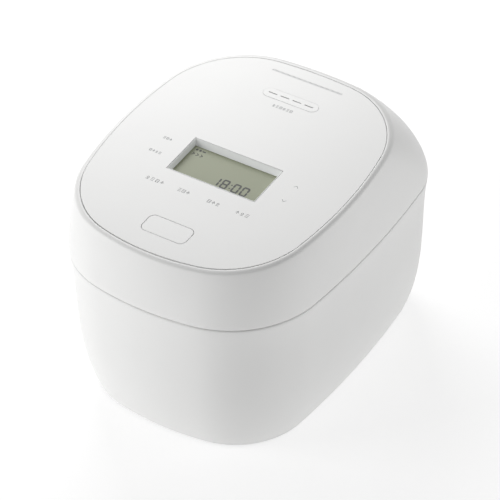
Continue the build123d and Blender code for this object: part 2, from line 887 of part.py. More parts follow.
# The steam outlet is a slotted cap over a duct that rises from the lid's underside.
with BuildPart() as steam_grille:
    with BuildSketch(panel_plane.offset(grille_rise)):
        with Locations((0, steam_y)):
            SlotOverall(steam_width, steam_depth)
    extrude(amount=-grille_rise - panel_thickness)
    fillet(steam_grille.faces().sort_by(Axis.Z)[-1].edges(), grille_round)
    with BuildSketch(panel_plane.offset(grille_rise)):
        with Locations((0, steam_y)):
            with GridLocations(slit_pitch, 0, slit_count, 1):
                SlotOverall(slit_width, slit_depth)
    extrude(amount=-grille_rise - panel_thickness, mode=Mode.SUBTRACT)

chamber_front = pot_y + 39.0
chamber_back = steam_y + 14.0
chamber_height = 16.0
chamber_mid = (chamber_front + chamber_back) / 2
chamber_length = chamber_back - chamber_front
steam_hole_y = pot_y + 50.0
chimney = (roof_z(steam_y) - lower_case_top - chamber_height / 2) / cos(radians(panel_tilt))
with BuildPart() as steam_duct:
    with BuildSketch(roof_bottom):
        with Locations((0, steam_y)):
            SlotOverall(steam_width - 2, steam_depth + 1)
    extrude(amount=-chimney)
    with Locations((0, chamber_mid, lower_case_top + chamber_height / 2)):
        Box(58, chamber_length, chamber_height)
    with BuildSketch(roof_bottom):
        with Locations((0, steam_y)):
            SlotOverall(steam_width - 5, steam_depth - 2)
    extrude(amount=-chimney, mode=Mode.SUBTRACT)
    with Locations((0, chamber_mid, lower_case_top + chamber_height / 2)):
        Box(54, chamber_length - 4, chamber_height - 4, mode=Mode.SUBTRACT)
    with BuildSketch(Plane.XY.offset(lower_case_top)):
        with Locations((0, steam_hole_y)):
            Circle(8)
    extrude(amount=2, mode=Mode.SUBTRACT)

with BuildPart() as steam_seal:
    with BuildSketch(Plane.XY.offset(lower_case_z)):
        with Locations((0, steam_hole_y)):
            Circle(11)
            Circle(8, mode=Mode.SUBTRACT)
    extrude(amount=lower_case_plate)

# The lid's underside carries the hinge knuckle and the two ears of the latch.
slot_length = catch_edge - slot_front
slot_middle = (catch_edge + slot_front) / 2
latch_ear = 2.4
with BuildPart() as lid_lower_case:
    with BuildSketch(Plane.XY.offset(lower_case_z)):
        add(outline_face(body_outline, lid_wall + frame_gap))
        with Locations((0, pot_y)):
            Circle(lower_case_opening, mode=Mode.SUBTRACT)
        with Locations((0, slot_middle)):
            Rectangle(latch_width + 2 * free_gap, slot_length, mode=Mode.SUBTRACT)
        with Locations((0, lid_back_y - lid_wall + width)):
            Rectangle(2 * width, 2 * width, mode=Mode.SUBTRACT)
    extrude(amount=lower_case_plate)
    with Locations((0, hinge_y - 10, (lower_case_z + hinge_z) / 2)):
        Box(2 * knuckle_half, 2 * (10 - hinge_gap), hinge_z - lower_case_z)
    with BuildSketch(barrel_plane.offset(-knuckle_half)):
        with Locations(hinge_point):
            Circle(barrel_radius)
    extrude(amount=2 * knuckle_half)
    with BuildSketch(barrel_plane.offset(-knuckle_half)):
        with Locations(hinge_point):
            Circle(hinge_pin_radius + running_gap)
    extrude(amount=2 * knuckle_half, mode=Mode.SUBTRACT)
    ear_height = latch_z + latch_hub - lower_case_top
    with Locations((0, latch_y, lower_case_top + ear_height / 2)):
        with GridLocations(latch_width + 2 * free_gap + latch_ear, 0, 2, 1):
            Box(latch_ear, 2 * latch_hub, ear_height)
    with BuildSketch(barrel_plane.offset(-width / 4)):
        with Locations((latch_y, latch_z)):
            Circle(latch_pin_radius)
    extrude(amount=width / 2, mode=Mode.SUBTRACT)
    with BuildSketch(Plane.XY.offset(lower_case_z)):
        with Locations(*post_spots):
            Circle(screw_hole)
    extrude(amount=lower_case_plate, mode=Mode.SUBTRACT)
    with BuildSketch(Plane.XY.offset(lower_case_z)):
        with Locations(*post_spots):
            Circle(3.2)
    extrude(amount=1.2, mode=Mode.SUBTRACT)

with BuildPart() as lid_screws:
    with BuildSketch(Plane.XY.offset(lower_case_z + 0.1)):
        with Locations(*post_spots):
            Circle(3)
    extrude(amount=1.1)
    with BuildSketch(Plane.XY.offset(lower_case_z + 1.2)):
        with Locations(*post_spots):
            Circle(1.5)
    extrude(amount=12)

with BuildPart() as heater_plate:
    with BuildSketch(Plane.XY.offset(heater_z)):
        with Locations((0, pot_y)):
            Circle(heater_radius)
        with Locations((0, steam_hole_y)):
            Circle(7, mode=Mode.SUBTRACT)
    extrude(amount=heater_thickness)

with BuildPart() as lid_heater:
    with Locations((0, pot_y, lower_case_z + 1)):
        Torus(36, 1)
        Torus(70, 1)

with BuildPart() as lid_sensor:
    with BuildSketch(Plane.XY.offset(lower_case_z)):
        with Locations((-48, pot_y)):
            Circle(6)
    extrude(amount=6)

with BuildPart() as inner_lid:
    with BuildSketch(Plane.XY.offset(gasket_top)):
        with Locations((0, pot_y)):
            Circle(inner_lid_radius)
    extrude(amount=inner_lid_thickness)
    with BuildSketch(Plane.XY.offset(inner_lid_top)):
        with Locations((0, pot_y)):
            Circle(8)
    extrude(amount=heater_z - inner_lid_top)
    with BuildSketch(Plane.XY.offset(gasket_top)):
        with Locations((0, steam_hole_y)):
            Circle(6)
    extrude(amount=inner_lid_thickness, mode=Mode.SUBTRACT)

with BuildPart() as lid_gasket:
    with BuildSketch(Plane.XY.offset(pot_rim)):
        with Locations((0, pot_y)):
            Circle(gasket_outer)
            Circle(gasket_inner, mode=Mode.SUBTRACT)
    extrude(amount=gasket_height)

# ---------------------------------------------------------------- button and latch
stem_bottom = latch_z + latch_hub + 0.4
stem_y = latch_y + latch_reach - 1.2
stem_length = roof_z(stem_y) + panel_thickness + lid_roof / 2 - stem_bottom - button_height
with BuildPart() as open_button:
    with BuildSketch(panel_plane):
        with Locations((0, button_y)):
            RectangleRounded(button_width, button_depth, button_corner)
    extrude(amount=-button_height)
    fillet(open_button.faces().sort_by(Axis.Z)[-1].edges(), 0.5)
    with Locations((0, stem_y, stem_bottom + stem_length / 2 + 1)):
        Box(8, 1.8, stem_length + 2)

hook_front = latch_y - latch_arm / 2
hook_back = latch_y + latch_arm / 2
nose_tip = hook_back - 0.5 + nose_length
with BuildPart() as latch:
    with BuildSketch(barrel_plane.offset(-latch_width / 2)):
        with Locations((latch_y, latch_z)):
            Circle(latch_hub)
        with BuildLine():
            Polyline(
                (hook_front, latch_z),
                (hook_front, hook_bottom),
                (hook_back, hook_bottom),
                (nose_tip, hook_bottom + nose_height - 2),
                (nose_tip, hook_bottom + nose_height),
                (hook_back, hook_bottom + nose_height),
                (hook_back, latch_z),
                close=True,
            )
        make_face()
        with BuildLine():
            Polyline(
                (latch_y, latch_z + latch_hub - 3),
                (latch_y + latch_reach, latch_z + latch_hub - 3),
                (latch_y + latch_reach, latch_z + latch_hub),
                (latch_y, latch_z + latch_hub),
                close=True,
            )
        make_face()
    extrude(amount=latch_width)
    with BuildSketch(barrel_plane.offset(-latch_width / 2)):
        with Locations((latch_y, latch_z)):
            Circle(latch_pin_radius + running_gap)
    extrude(amount=latch_width, mode=Mode.SUBTRACT)

pin_half = latch_width / 2 + free_gap + latch_ear
with BuildPart() as latch_pin:
    with BuildSketch(barrel_plane.offset(-pin_half)):
        with Locations((latch_y, latch_z)):
            Circle(latch_pin_radius)
    extrude(amount=2 * pin_half)

parts = {
    "outer_case": outer_case,
    "base_cover": base_cover,
    "rubber_feet": rubber_feet,
    "base_screws": base_screws,
    "top_frame": top_frame,
    "catch_plate": catch_plate,
    "coil_bowl": coil_bowl,
    "inner_pot": inner_pot,
    "inner_coil": inner_coil,
    "outer_coil": outer_coil,
    "coil_plate": coil_carrier,
    "ferrite_bars": ferrite_bars,
    "side_heater": side_heater,
    "pot_sensor": pot_sensor,
    "sensor_holder": sensor_holder,
    "sensor_spring": sensor_spring,
    "power_board": power_board,
    "heat_sink": heat_sink,
    "power_devices": power_devices,
    "filter_capacitors": filter_capacitors,
    "choke_coil": choke_coil,
    "fan_housing": fan_housing,
    "fan_rotor": fan_rotor,
    "power_inlet": power_inlet,
    "inlet_pins": inlet_pins,
    "hinge_cover": hinge_cover,
    "hinge_pin": hinge_pin,
    "lid_shell": lid_shell,
    "lid_panel": lid_panel,
    "window_frame": window_frame,
    "display_glass": display_glass,
    "control_board": control_board,
    "buzzer": buzzer,
    "clock_battery": clock_battery,
    "board_chips": board_chips,
    "steam_grille": steam_grille,
    "steam_duct": steam_duct,
    "steam_seal": steam_seal,
    "lid_lower_case": lid_lower_case,
    "lid_screws": lid_screws,
    "heater_plate": heater_plate,
    "lid_heater": lid_heater,
    "lid_sensor": lid_sensor,
    "inner_lid": inner_lid,
    "lid_gasket": lid_gasket,
    "open_button": open_button,
    "latch": latch,
    "latch_pin": latch_pin,
}
os.makedirs("parts", exist_ok=True)
for label, piece in parts.items():
    piece.part.label = label
    export_step(piece.part, f"parts/{label}.step")
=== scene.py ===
"""Looks of a white household rice cooker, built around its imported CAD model."""

import json
import logging
import math
from dataclasses import dataclass, field
from enum import Enum
from typing import ClassVar

import bmesh
import bpy
import numpy as np
from mathutils import Matrix, Vector


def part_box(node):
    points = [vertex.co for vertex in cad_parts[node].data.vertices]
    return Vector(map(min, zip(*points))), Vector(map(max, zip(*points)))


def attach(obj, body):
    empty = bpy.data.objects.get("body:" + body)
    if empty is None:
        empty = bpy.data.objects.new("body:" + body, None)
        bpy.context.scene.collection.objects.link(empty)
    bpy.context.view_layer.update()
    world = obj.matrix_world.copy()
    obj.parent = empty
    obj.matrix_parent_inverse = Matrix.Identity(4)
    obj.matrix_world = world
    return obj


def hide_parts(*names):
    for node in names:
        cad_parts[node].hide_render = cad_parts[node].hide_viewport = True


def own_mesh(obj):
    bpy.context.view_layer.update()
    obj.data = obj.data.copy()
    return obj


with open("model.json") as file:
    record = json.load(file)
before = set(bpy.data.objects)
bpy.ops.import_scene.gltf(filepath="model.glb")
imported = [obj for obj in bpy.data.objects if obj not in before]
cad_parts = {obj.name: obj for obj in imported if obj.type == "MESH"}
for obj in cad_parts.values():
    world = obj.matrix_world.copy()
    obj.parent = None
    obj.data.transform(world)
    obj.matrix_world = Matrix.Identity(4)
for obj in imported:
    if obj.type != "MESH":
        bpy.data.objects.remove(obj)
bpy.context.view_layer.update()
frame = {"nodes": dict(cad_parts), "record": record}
MM = 0.001
LOG = logging.getLogger("rice_cooker")
Array = np.ndarray


class Body(Enum):
    """The moving bodies that pieces ride on."""

    BASE = "base"
    LID = "lid"


# ------------------------------------------------------------------ materials
def linear(colour: str) -> tuple[float, float, float, float]:
    """Turn an sRGB hex colour into linear RGBA.

    Args:
        colour: Six hex digits with a leading hash.

    Returns:
        The colour as linear red, green, blue and an alpha of one.
    """
    parts = [int(colour[i : i + 2], 16) / 255 for i in (1, 3, 5)]
    parts = [c / 12.92 if c <= 0.04045 else ((c + 0.055) / 1.055) ** 2.4 for c in parts]
    return (*parts, 1.0)


def add_node(tree: bpy.types.NodeTree, kind: str, settings: dict, links: dict) -> bpy.types.Node:
    """Add one node with its settings, socket values and incoming links.

    Args:
        tree: The node tree to add to.
        kind: The node's type name.
        settings: Attribute names, or input names after "in:", and their values.
        links: Input names and the output sockets they are fed from.

    Returns:
        The new node.
    """
    node = tree.nodes.new(kind)
    for name, value in settings.items():
        if name.startswith("in:"):
            node.inputs[name[3:]].default_value = value
        else:
            setattr(node, name, value)
    for name, source in links.items():
        tree.links.new(source, node.inputs[name])
    return node


@dataclass(frozen=True)
class Finish:
    """One surface finish: its colours, shader values and fine surface relief.

    Attributes:
        name: The material's common name and how its surface was made.
        colour: Main colour as sRGB hex.
        tint: Second colour that a slow mottle mixes in, as sRGB hex.
        roughness: Shader roughness.
        ior: Index of refraction.
        metallic: One for bare metal, zero otherwise.
        grain_mm: Size of the fine relief in millimetres.
        grain_depth_mm: Height of the fine relief in millimetres.
        mottle_mm: Size of the slow colour mottle in millimetres.
        stretch: How many times longer the grain runs along each axis.
        coat: Weight of a clear glossy coat.
        scatter: Weight of light scattered under the surface.
        glow: Strength of light given off.
        rough_spread: How far the grain moves the roughness either way.
        grain_strength: Strength of the relief.
        coat_roughness: Roughness of the clear coat.
        scatter_reach: How far light travels under the surface, in metres.
    """

    name: str
    colour: str
    tint: str
    roughness: float
    ior: float = 1.5
    metallic: float = 0.0
    grain_mm: float = 0.6
    grain_depth_mm: float = 0.004
    mottle_mm: float = 40.0
    stretch: tuple[float, float, float] = (1.0, 1.0, 1.0)
    coat: float = 0.0
    scatter: float = 0.0
    glow: float = 0.0
    rough_spread: float = 0.04
    grain_strength: float = 0.35
    coat_roughness: float = 0.12
    scatter_reach: float = 0.002

    def build(self) -> bpy.types.Material:
        """Make the node material, or return it if it is already made.

        A slow noise mixes the two colours. A fine noise moves the roughness either way and
        lifts the surface by the grain's depth.

        Returns:
            The material.
        """
        known = bpy.data.materials.get(self.name)
        if known:
            return known
        material = bpy.data.materials.new(self.name)
        material.use_nodes = True
        tree = material.node_tree
        tree.nodes.clear()
        out = add_node(tree, "ShaderNodeOutputMaterial", {}, {})
        place = add_node(tree, "ShaderNodeTexCoord", {}, {})
        scale = {"in:Scale": tuple(1.0 / s for s in self.stretch)}
        mapping = add_node(tree, "ShaderNodeMapping", scale, {"Vector": place.outputs["Object"]})
        slow = {"in:Scale": 1 / (self.mottle_mm * MM), "in:Detail": 3.0}
        fine = {"in:Scale": 1 / (self.grain_mm * MM), "in:Detail": 4.0}
        along = {"Vector": mapping.outputs["Vector"]}
        mottle = add_node(tree, "ShaderNodeTexNoise", slow, along)
        grain = add_node(tree, "ShaderNodeTexNoise", fine, along)
        mix = {"Factor": mottle.outputs["Fac"]}
        colour = add_node(tree, "ShaderNodeMix", {"data_type": "RGBA"}, mix)
        colour.inputs[6].default_value = linear(self.colour)
        colour.inputs[7].default_value = linear(self.tint)
        limits = {
            "in:To Min": max(self.roughness - self.rough_spread, 0.02),
            "in:To Max": min(self.roughness + self.rough_spread, 1.0),
        }
        rough = add_node(tree, "ShaderNodeMapRange", limits, {"Value": grain.outputs["Fac"]})
        relief = {"in:Strength": self.grain_strength, "in:Distance": self.grain_depth_mm * MM}
        bump = add_node(tree, "ShaderNodeBump", relief, {"Height": grain.outputs["Fac"]})
        shader = add_node(
            tree,
            "ShaderNodeBsdfPrincipled",
            {
                "in:Metallic": self.metallic,
                "in:Coat Weight": self.coat,
                "in:Coat Roughness": self.coat_roughness,
                "in:Subsurface Weight": self.scatter,
                "in:Subsurface Scale": self.scatter_reach,
                "in:Emission Color": (1.0, 1.0, 1.0, 1.0),
                "in:Emission Strength": self.glow,
            },
            {
                "Base Color": colour.outputs[2],
                "Roughness": rough.outputs["Result"],
                "Normal": bump.outputs["Normal"],
            },
        )
        if not self.metallic:
            shader.inputs["IOR"].default_value = self.ior
        tree.links.new(shader.outputs["BSDF"], out.inputs["Surface"])
        return material


# The etching of a moulding tool and the lines of brushing are 0.05 to 0.15 mm across, too
# fine to show, so every grain below is drawn several times coarser, at 0.4 to 0.9 mm.

# Satin ABS, injection moulded in a fine-etched tool: soft broad highlights on white.
CASE_ABS = Finish("abs_moulded_satin_white", "#EAEAE9", "#E7E7E6", 0.46, grain_mm=0.9)
# The same ABS on the lid, from a slightly smoother tool.
LID_ABS = Finish("abs_moulded_fine_satin_white", "#EDEDEC", "#EAEAE9", 0.42, grain_mm=0.8)
# Polycarbonate film bonded over the touch panel: white, even, a little glossier.
PANEL_FILM = Finish("polycarbonate_film_bonded_white", "#F1F1F0", "#EEEEED", 0.45, ior=1.52)
# ABS from a smoother tool than the case: the button and grille read a shade brighter.
BUTTON_ABS = Finish("abs_moulded_button_white", "#F0F0EF", "#EDEDEC", 0.42, grain_mm=0.7)
# ABS tray round the display, moulded in light grey with an etched wall. Its small glow
# stands for the light that its four close walls throw on each other.
TRAY_ABS = Finish("abs_etched_light_grey", "#EEF0EF", "#E8EAE9", 0.5, grain_mm=0.5, glow=0.03)
# Reflective liquid crystal cell: grey-green polariser under hard glass.
DISPLAY = Finish(
    "liquid_crystal_polariser_grey_green", "#979C82", "#91967C", 0.5, mottle_mm=60.0
)
# Liquid crystal switched on: near black with a green cast, matt under the glass.
SEGMENT_INK = Finish("liquid_crystal_segment_dark", "#20241D", "#1C2019", 0.5)
# Screen printed ink: mid grey, matt, with no height that the eye can see.
PRINT_INK = Finish("screen_print_ink_grey", "#6E7072", "#686A6C", 0.6)
# The same ink, printed paler: a soft grey that stands back from the key signs.
PALE_INK = Finish("screen_print_ink_pale_grey", "#8E9092", "#888A8C", 0.6)
# The same ink in the faintest tint: a line that hardly shows on the white film.
FAINT_INK = Finish("screen_print_ink_faint_grey", "#C4C5C6", "#BEBFC0", 0.6)
# ABS moulded in grey with an etched tool: a dull dark gap between body and lid.
FRAME_ABS = Finish("abs_moulded_matte_grey", "#8C8E90", "#86888A", 0.6, grain_mm=0.7)
# Polypropylene, injection moulded: a waxy, slightly warmer white than the case.
UNDER_PP = Finish("polypropylene_moulded_white", "#E4E4E2", "#DEDEDC", 0.5, grain_mm=0.8)
# Glass filled polyester, moulded: black, dry and a little rough.
HEAT_RESIN = Finish("pet_glass_filled_black", "#2B2B2D", "#242426", 0.65, grain_mm=0.5)
# Moulded rubber: black with almost no highlight.
FOOT_RUBBER = Finish("rubber_moulded_black", "#1D1D1E", "#232324", 0.85, grain_mm=0.5)
# Zinc plated steel: cool bright metal with soft highlights.
ZINC_STEEL = Finish("steel_zinc_plated", "#C6C8CB", "#B9BCC0", 0.32, metallic=1.0)
# Fluoropolymer sprayed on aluminium: dark grey, satin, finely speckled.
POT_COAT = Finish("fluoropolymer_sprayed_dark", "#353436", "#434144", 0.38, grain_mm=0.45)
# Enamelled copper wire: warm red metal, dulled by its lacquer.
COPPER = Finish("copper_enamelled_wire", "#B4683A", "#9C5630", 0.3, metallic=1.0)
# Ferrite, pressed and sintered: charcoal ceramic, matt.
FERRITE = Finish("ferrite_pressed_sintered", "#2E2D2F", "#39383B", 0.7)
# Mill finished aluminium: pale metal with broad blurred highlights.
ALUMINIUM = Finish("aluminium_mill_rolled", "#D3D4D6", "#C6C8CA", 0.35, metallic=1.0)
# Brushed stainless steel: fine lines along X that stretch its highlights.
LID_STEEL = Finish(
    "stainless_steel_brushed",
    "#CFCFCE",
    "#C2C2C1",
    0.3,
    metallic=1.0,
    grain_mm=0.4,
    stretch=(30.0, 1.0, 1.0),
)
# Glass epoxy board: green under a clear solder mask that catches the light.
BOARD = Finish("epoxy_glass_board_green", "#1F5A37", "#194C2E", 0.4, coat=0.4)
# Moulded epoxy of chips and the fan: flat black.
PART_BLACK = Finish("epoxy_moulded_black", "#1A1A1B", "#212122", 0.5)
# Polyester case of a film capacitor: plain mid grey.
CAPACITOR = Finish("polyester_cased_grey", "#9C9EA1", "#939598", 0.5)
# Moulded nylon: white, a little yellower and duller than the case.
INLET_NYLON = Finish("nylon_moulded_white", "#E6E6E4", "#E0E0DE", 0.5)
# Tin plated brass: pale yellow metal, fairly bright.
BRASS = Finish("brass_tin_plated", "#CDBE8A", "#C2B27C", 0.28, metallic=1.0)
# Moulded silicone: soft grey that lets a little light in.
SEAL_SILICONE = Finish("silicone_moulded_grey", "#A9A9A6", "#A1A19E", 0.6, scatter=0.1)
# Translucent white acrylic table lit from below, so that the ground stays even and pale.
FLOOR_ACRYLIC = Finish("acrylic_light_table_white", "#A8A8A8", "#A4A4A4", 0.9, glow=0.7)

SLOT_FINISHES: dict[str, Finish] = {
    "case_white": CASE_ABS,
    "panel_white": PANEL_FILM,
    "button_white": BUTTON_ABS,
    "grille_white": BUTTON_ABS,
    "bezel_grey": TRAY_ABS,
    "display": DISPLAY,
    "frame_grey": FRAME_ABS,
    "underside_white": UNDER_PP,
    "heat_plastic": HEAT_RESIN,
    "foot_rubber": FOOT_RUBBER,
    "zinc_steel": ZINC_STEEL,
    "pot_coating": POT_COAT,
    "copper_winding": COPPER,
    "ferrite": FERRITE,
    "aluminium": ALUMINIUM,
    "inner_lid_steel": LID_STEEL,
    "board_green": BOARD,
    "part_black": PART_BLACK,
    "capacitor_grey": CAPACITOR,
    "fan_black": PART_BLACK,
    "inlet_white": INLET_NYLON,
    "pin_brass": BRASS,
    "seal_grey": SEAL_SILICONE,
}


# ------------------------------------------------------------------ mesh helpers
def grid_mesh(
    name: str, points: Array, closed_u: bool = True, closed_v: bool = False, capped: bool = False
) -> bpy.types.Mesh:
    """Turn a grid of points into a mesh of quads.

    Args:
        name: The mesh's name.
        points: Array of rows x columns x 3, in metres.
        closed_u: Whether the last column joins the first.
        closed_v: Whether the last row joins the first.
        capped: Whether one flat face closes the first row and one the last.

    Returns:
        The mesh. Face (i, j) has the corners (i, j), (i, j+1), (i+1, j+1), (i+1, j).
    """
    rows, cols = points.shape[:2]
    index = np.arange(rows * cols).reshape(rows, cols)
    if closed_u:
        index = np.concatenate([index, index[:, :1]], axis=1)
    if closed_v:
        index = np.concatenate([index, index[:1]], axis=0)
    quads = np.stack([index[:-1, :-1], index[:-1, 1:], index[1:, 1:], index[1:, :-1]], axis=-1)
    faces = quads.reshape(-1, 4).tolist()
    if capped:
        faces += [index[0, cols - 1 :: -1].tolist(), index[-1, :cols].tolist()]
    mesh = bpy.data.meshes.new(name)
    mesh.from_pydata(points.reshape(-1, 3).tolist(), [], faces)
    return tidy_mesh(mesh) if capped else mesh


def place_piece(
    name: str, mesh: bpy.types.Mesh, body: Body, finish: Finish, sharp_deg: float = 40.0
) -> bpy.types.Object:
    """Put a finished mesh in the scene as a piece that rides on a body.

    Args:
        name: The piece's name.
        mesh: Its mesh, already in place.
        body: The body that it rides on.
        finish: The finish it gets.
        sharp_deg: Edges that turn by more than this stay sharp.

    Returns:
        The new object.
    """
    mesh.shade_smooth()
    mesh.set_sharp_from_angle(angle=math.radians(sharp_deg))
    mesh.materials.clear()
    mesh.materials.append(finish.build())
    piece = bpy.data.objects.new(name, mesh)
    bpy.context.scene.collection.objects.link(piece)
    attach(piece, body.value)
    LOG.info("%s: %d faces", name, len(mesh.polygons))
    return piece


def tidy_mesh(mesh: bpy.types.Mesh, merge_mm: float = 0.002) -> bpy.types.Mesh:
    """Merge doubled points and turn all faces outward.

    Args:
        mesh: The mesh to change.
        merge_mm: Points nearer than this become one.

    Returns:
        The same mesh.
    """
    work = bmesh.new()
    work.from_mesh(mesh)
    bmesh.ops.remove_doubles(work, verts=work.verts, dist=merge_mm * MM)
    bmesh.ops.dissolve_degenerate(work, edges=work.edges, dist=merge_mm * MM)
    bmesh.ops.recalc_face_normals(work, faces=work.faces)
    work.to_mesh(mesh)
    work.free()
    return mesh


def rounded_rectangle(low: Array, high: Array, corner: float, steps: int = 6) -> Array:
    """Return a rounded rectangle, four quarter circles joined by straight runs.

    Args:
        low: Its low corner.
        high: Its high corner.
        corner: Radius of its corners.
        steps: Points on each corner.

    Returns:
        4 * steps x 2 points against the clock.
    """
    turn = np.linspace(0, math.pi / 2, steps)
    angles = np.concatenate([turn + k * math.pi / 2 for k in range(4)])
    x = np.repeat([high[0] - corner, low[0] + corner, low[0] + corner, high[0] - corner], steps)
    y = np.repeat([high[1] - corner, high[1] - corner, low[1] + corner, low[1] + corner], steps)
    return np.column_stack([x + corner * np.cos(angles), y + corner * np.sin(angles)])


def prism(name: str, outline: Array, axis: int, start: float, stop: float) -> bpy.types.Object:
    """Make a closed prism, for use as a cutter.

    Args:
        name: The object's name.
        outline: N x 2 points in metres, over the two axes other than its own.
        axis: The axis that it runs along.
        start: Where it starts on that axis, in metres.
        stop: Where it ends.

    Returns:
        The cutter.
    """
    rings = [np.insert(outline, axis, place, axis=1) for place in (start, stop)]
    mesh = grid_mesh(name, np.stack(rings), capped=True)
    cutter = bpy.data.objects.new(name, mesh)
    bpy.context.scene.collection.objects.link(cutter)
    return cutter


# ------------------------------------------------------------------ outlines
@dataclass(frozen=True)
class Outline:
    """A closed loop of eight tangent arcs, wider behind than in front, in millimetres.

    Attributes:
        width: Full width.
        front: Reach to the front from the line where the loop is widest.
        back: Reach to the back from that line.
        side_r: Radius of the side arcs.
        front_r: Radius of the front arc.
        back_r: Radius of the back arc.
        front_c: Radius of the front corners.
        back_c: Radius of the back corners.
    """

    width: float
    front: float
    back: float
    side_r: float
    front_r: float
    back_r: float
    front_c: float
    back_c: float

    def blend(self, other: "Outline", share: float) -> "Outline":
        """Mix this outline with another, each size moved by share of the difference.

        Args:
            other: The other outline.
            share: Zero gives this outline and one the other.

        Returns:
            The mixed outline.
        """
        names = self.__dataclass_fields__
        mixed = [getattr(self, n) + (getattr(other, n) - getattr(self, n)) * share for n in names]
        return Outline(*mixed)

    def quarter(
        self, depth: float, end_r: float, corner_r: float, steps: int
    ) -> tuple[Array, Array]:
        """Sample one quarter of the loop, from the side to the end.

        The corner's centre lies at end_r - corner_r from the end arc's centre and at
        side_r - corner_r from the side arc's centre, so all three arcs are tangent.

        Args:
            depth: Reach of this quarter.
            end_r: Radius of its end arc.
            corner_r: Radius of its corner.
            steps: Points on each arc.

        Returns:
            The points and their outward normals, both N x 2.
        """
        side_centre = self.width / 2 - self.side_r
        end_centre = depth - end_r
        end_gap = end_r - corner_r
        side_gap = self.side_r - corner_r
        span = math.hypot(side_centre, end_centre)
        along = (end_gap**2 - side_gap**2 + span**2) / (2 * span)
        off = math.sqrt(end_gap**2 - along**2)
        ux, uy = side_centre / span, -end_centre / span
        options = [
            (along * ux - s * off * uy, end_centre + along * uy + s * off * ux) for s in (1, -1)
        ]
        centre = max(options, key=sum)
        side_angle = math.atan2(centre[1], centre[0] - side_centre)
        end_angle = math.atan2(centre[1] - end_centre, centre[0])
        angles = [
            np.linspace(0, side_angle, steps // 2, endpoint=False),
            np.linspace(side_angle, end_angle, steps, endpoint=False),
            np.linspace(end_angle, math.pi / 2, steps // 2, endpoint=False),
        ]
        centres = [(side_centre, 0.0), centre, (0.0, end_centre)]
        radii = [self.side_r, corner_r, end_r]
        points, normals = [], []
        for a, c, r in zip(angles, centres, radii):
            n = np.stack([np.cos(a), np.sin(a)], axis=1)
            points.append(np.array(c) + r * n)
            normals.append(n)
        return np.concatenate(points), np.concatenate(normals)

    def loop(self, steps: int = 24) -> tuple[Array, Array]:
        """Sample the whole loop against the clock, starting at the +X side.

        The loop is its back and front quarters and their mirror images.

        Args:
            steps: Points on each arc.

        Returns:
            The points and their outward normals, both N x 2, in millimetres.
        """
        back = self.quarter(self.back, self.back_r, self.back_c, steps)
        front = self.quarter(self.front, self.front_r, self.front_c, steps)
        mirror, flip = np.array([-1.0, 1.0]), np.array([1.0, -1.0])
        ends = ((self.back, self.front), (1.0, 1.0))
        points, normals = (
            np.concatenate(
                [
                    rear,
                    np.array([[0.0, end_b]]),
                    (rear * mirror)[:0:-1],
                    fore * mirror * flip,
                    np.array([[0.0, end_f]]) * flip,
                    (fore * flip)[:0:-1],
                ]
            )
            for rear, fore, (end_b, end_f) in zip(back, front, ends)
        )
        return points, normals


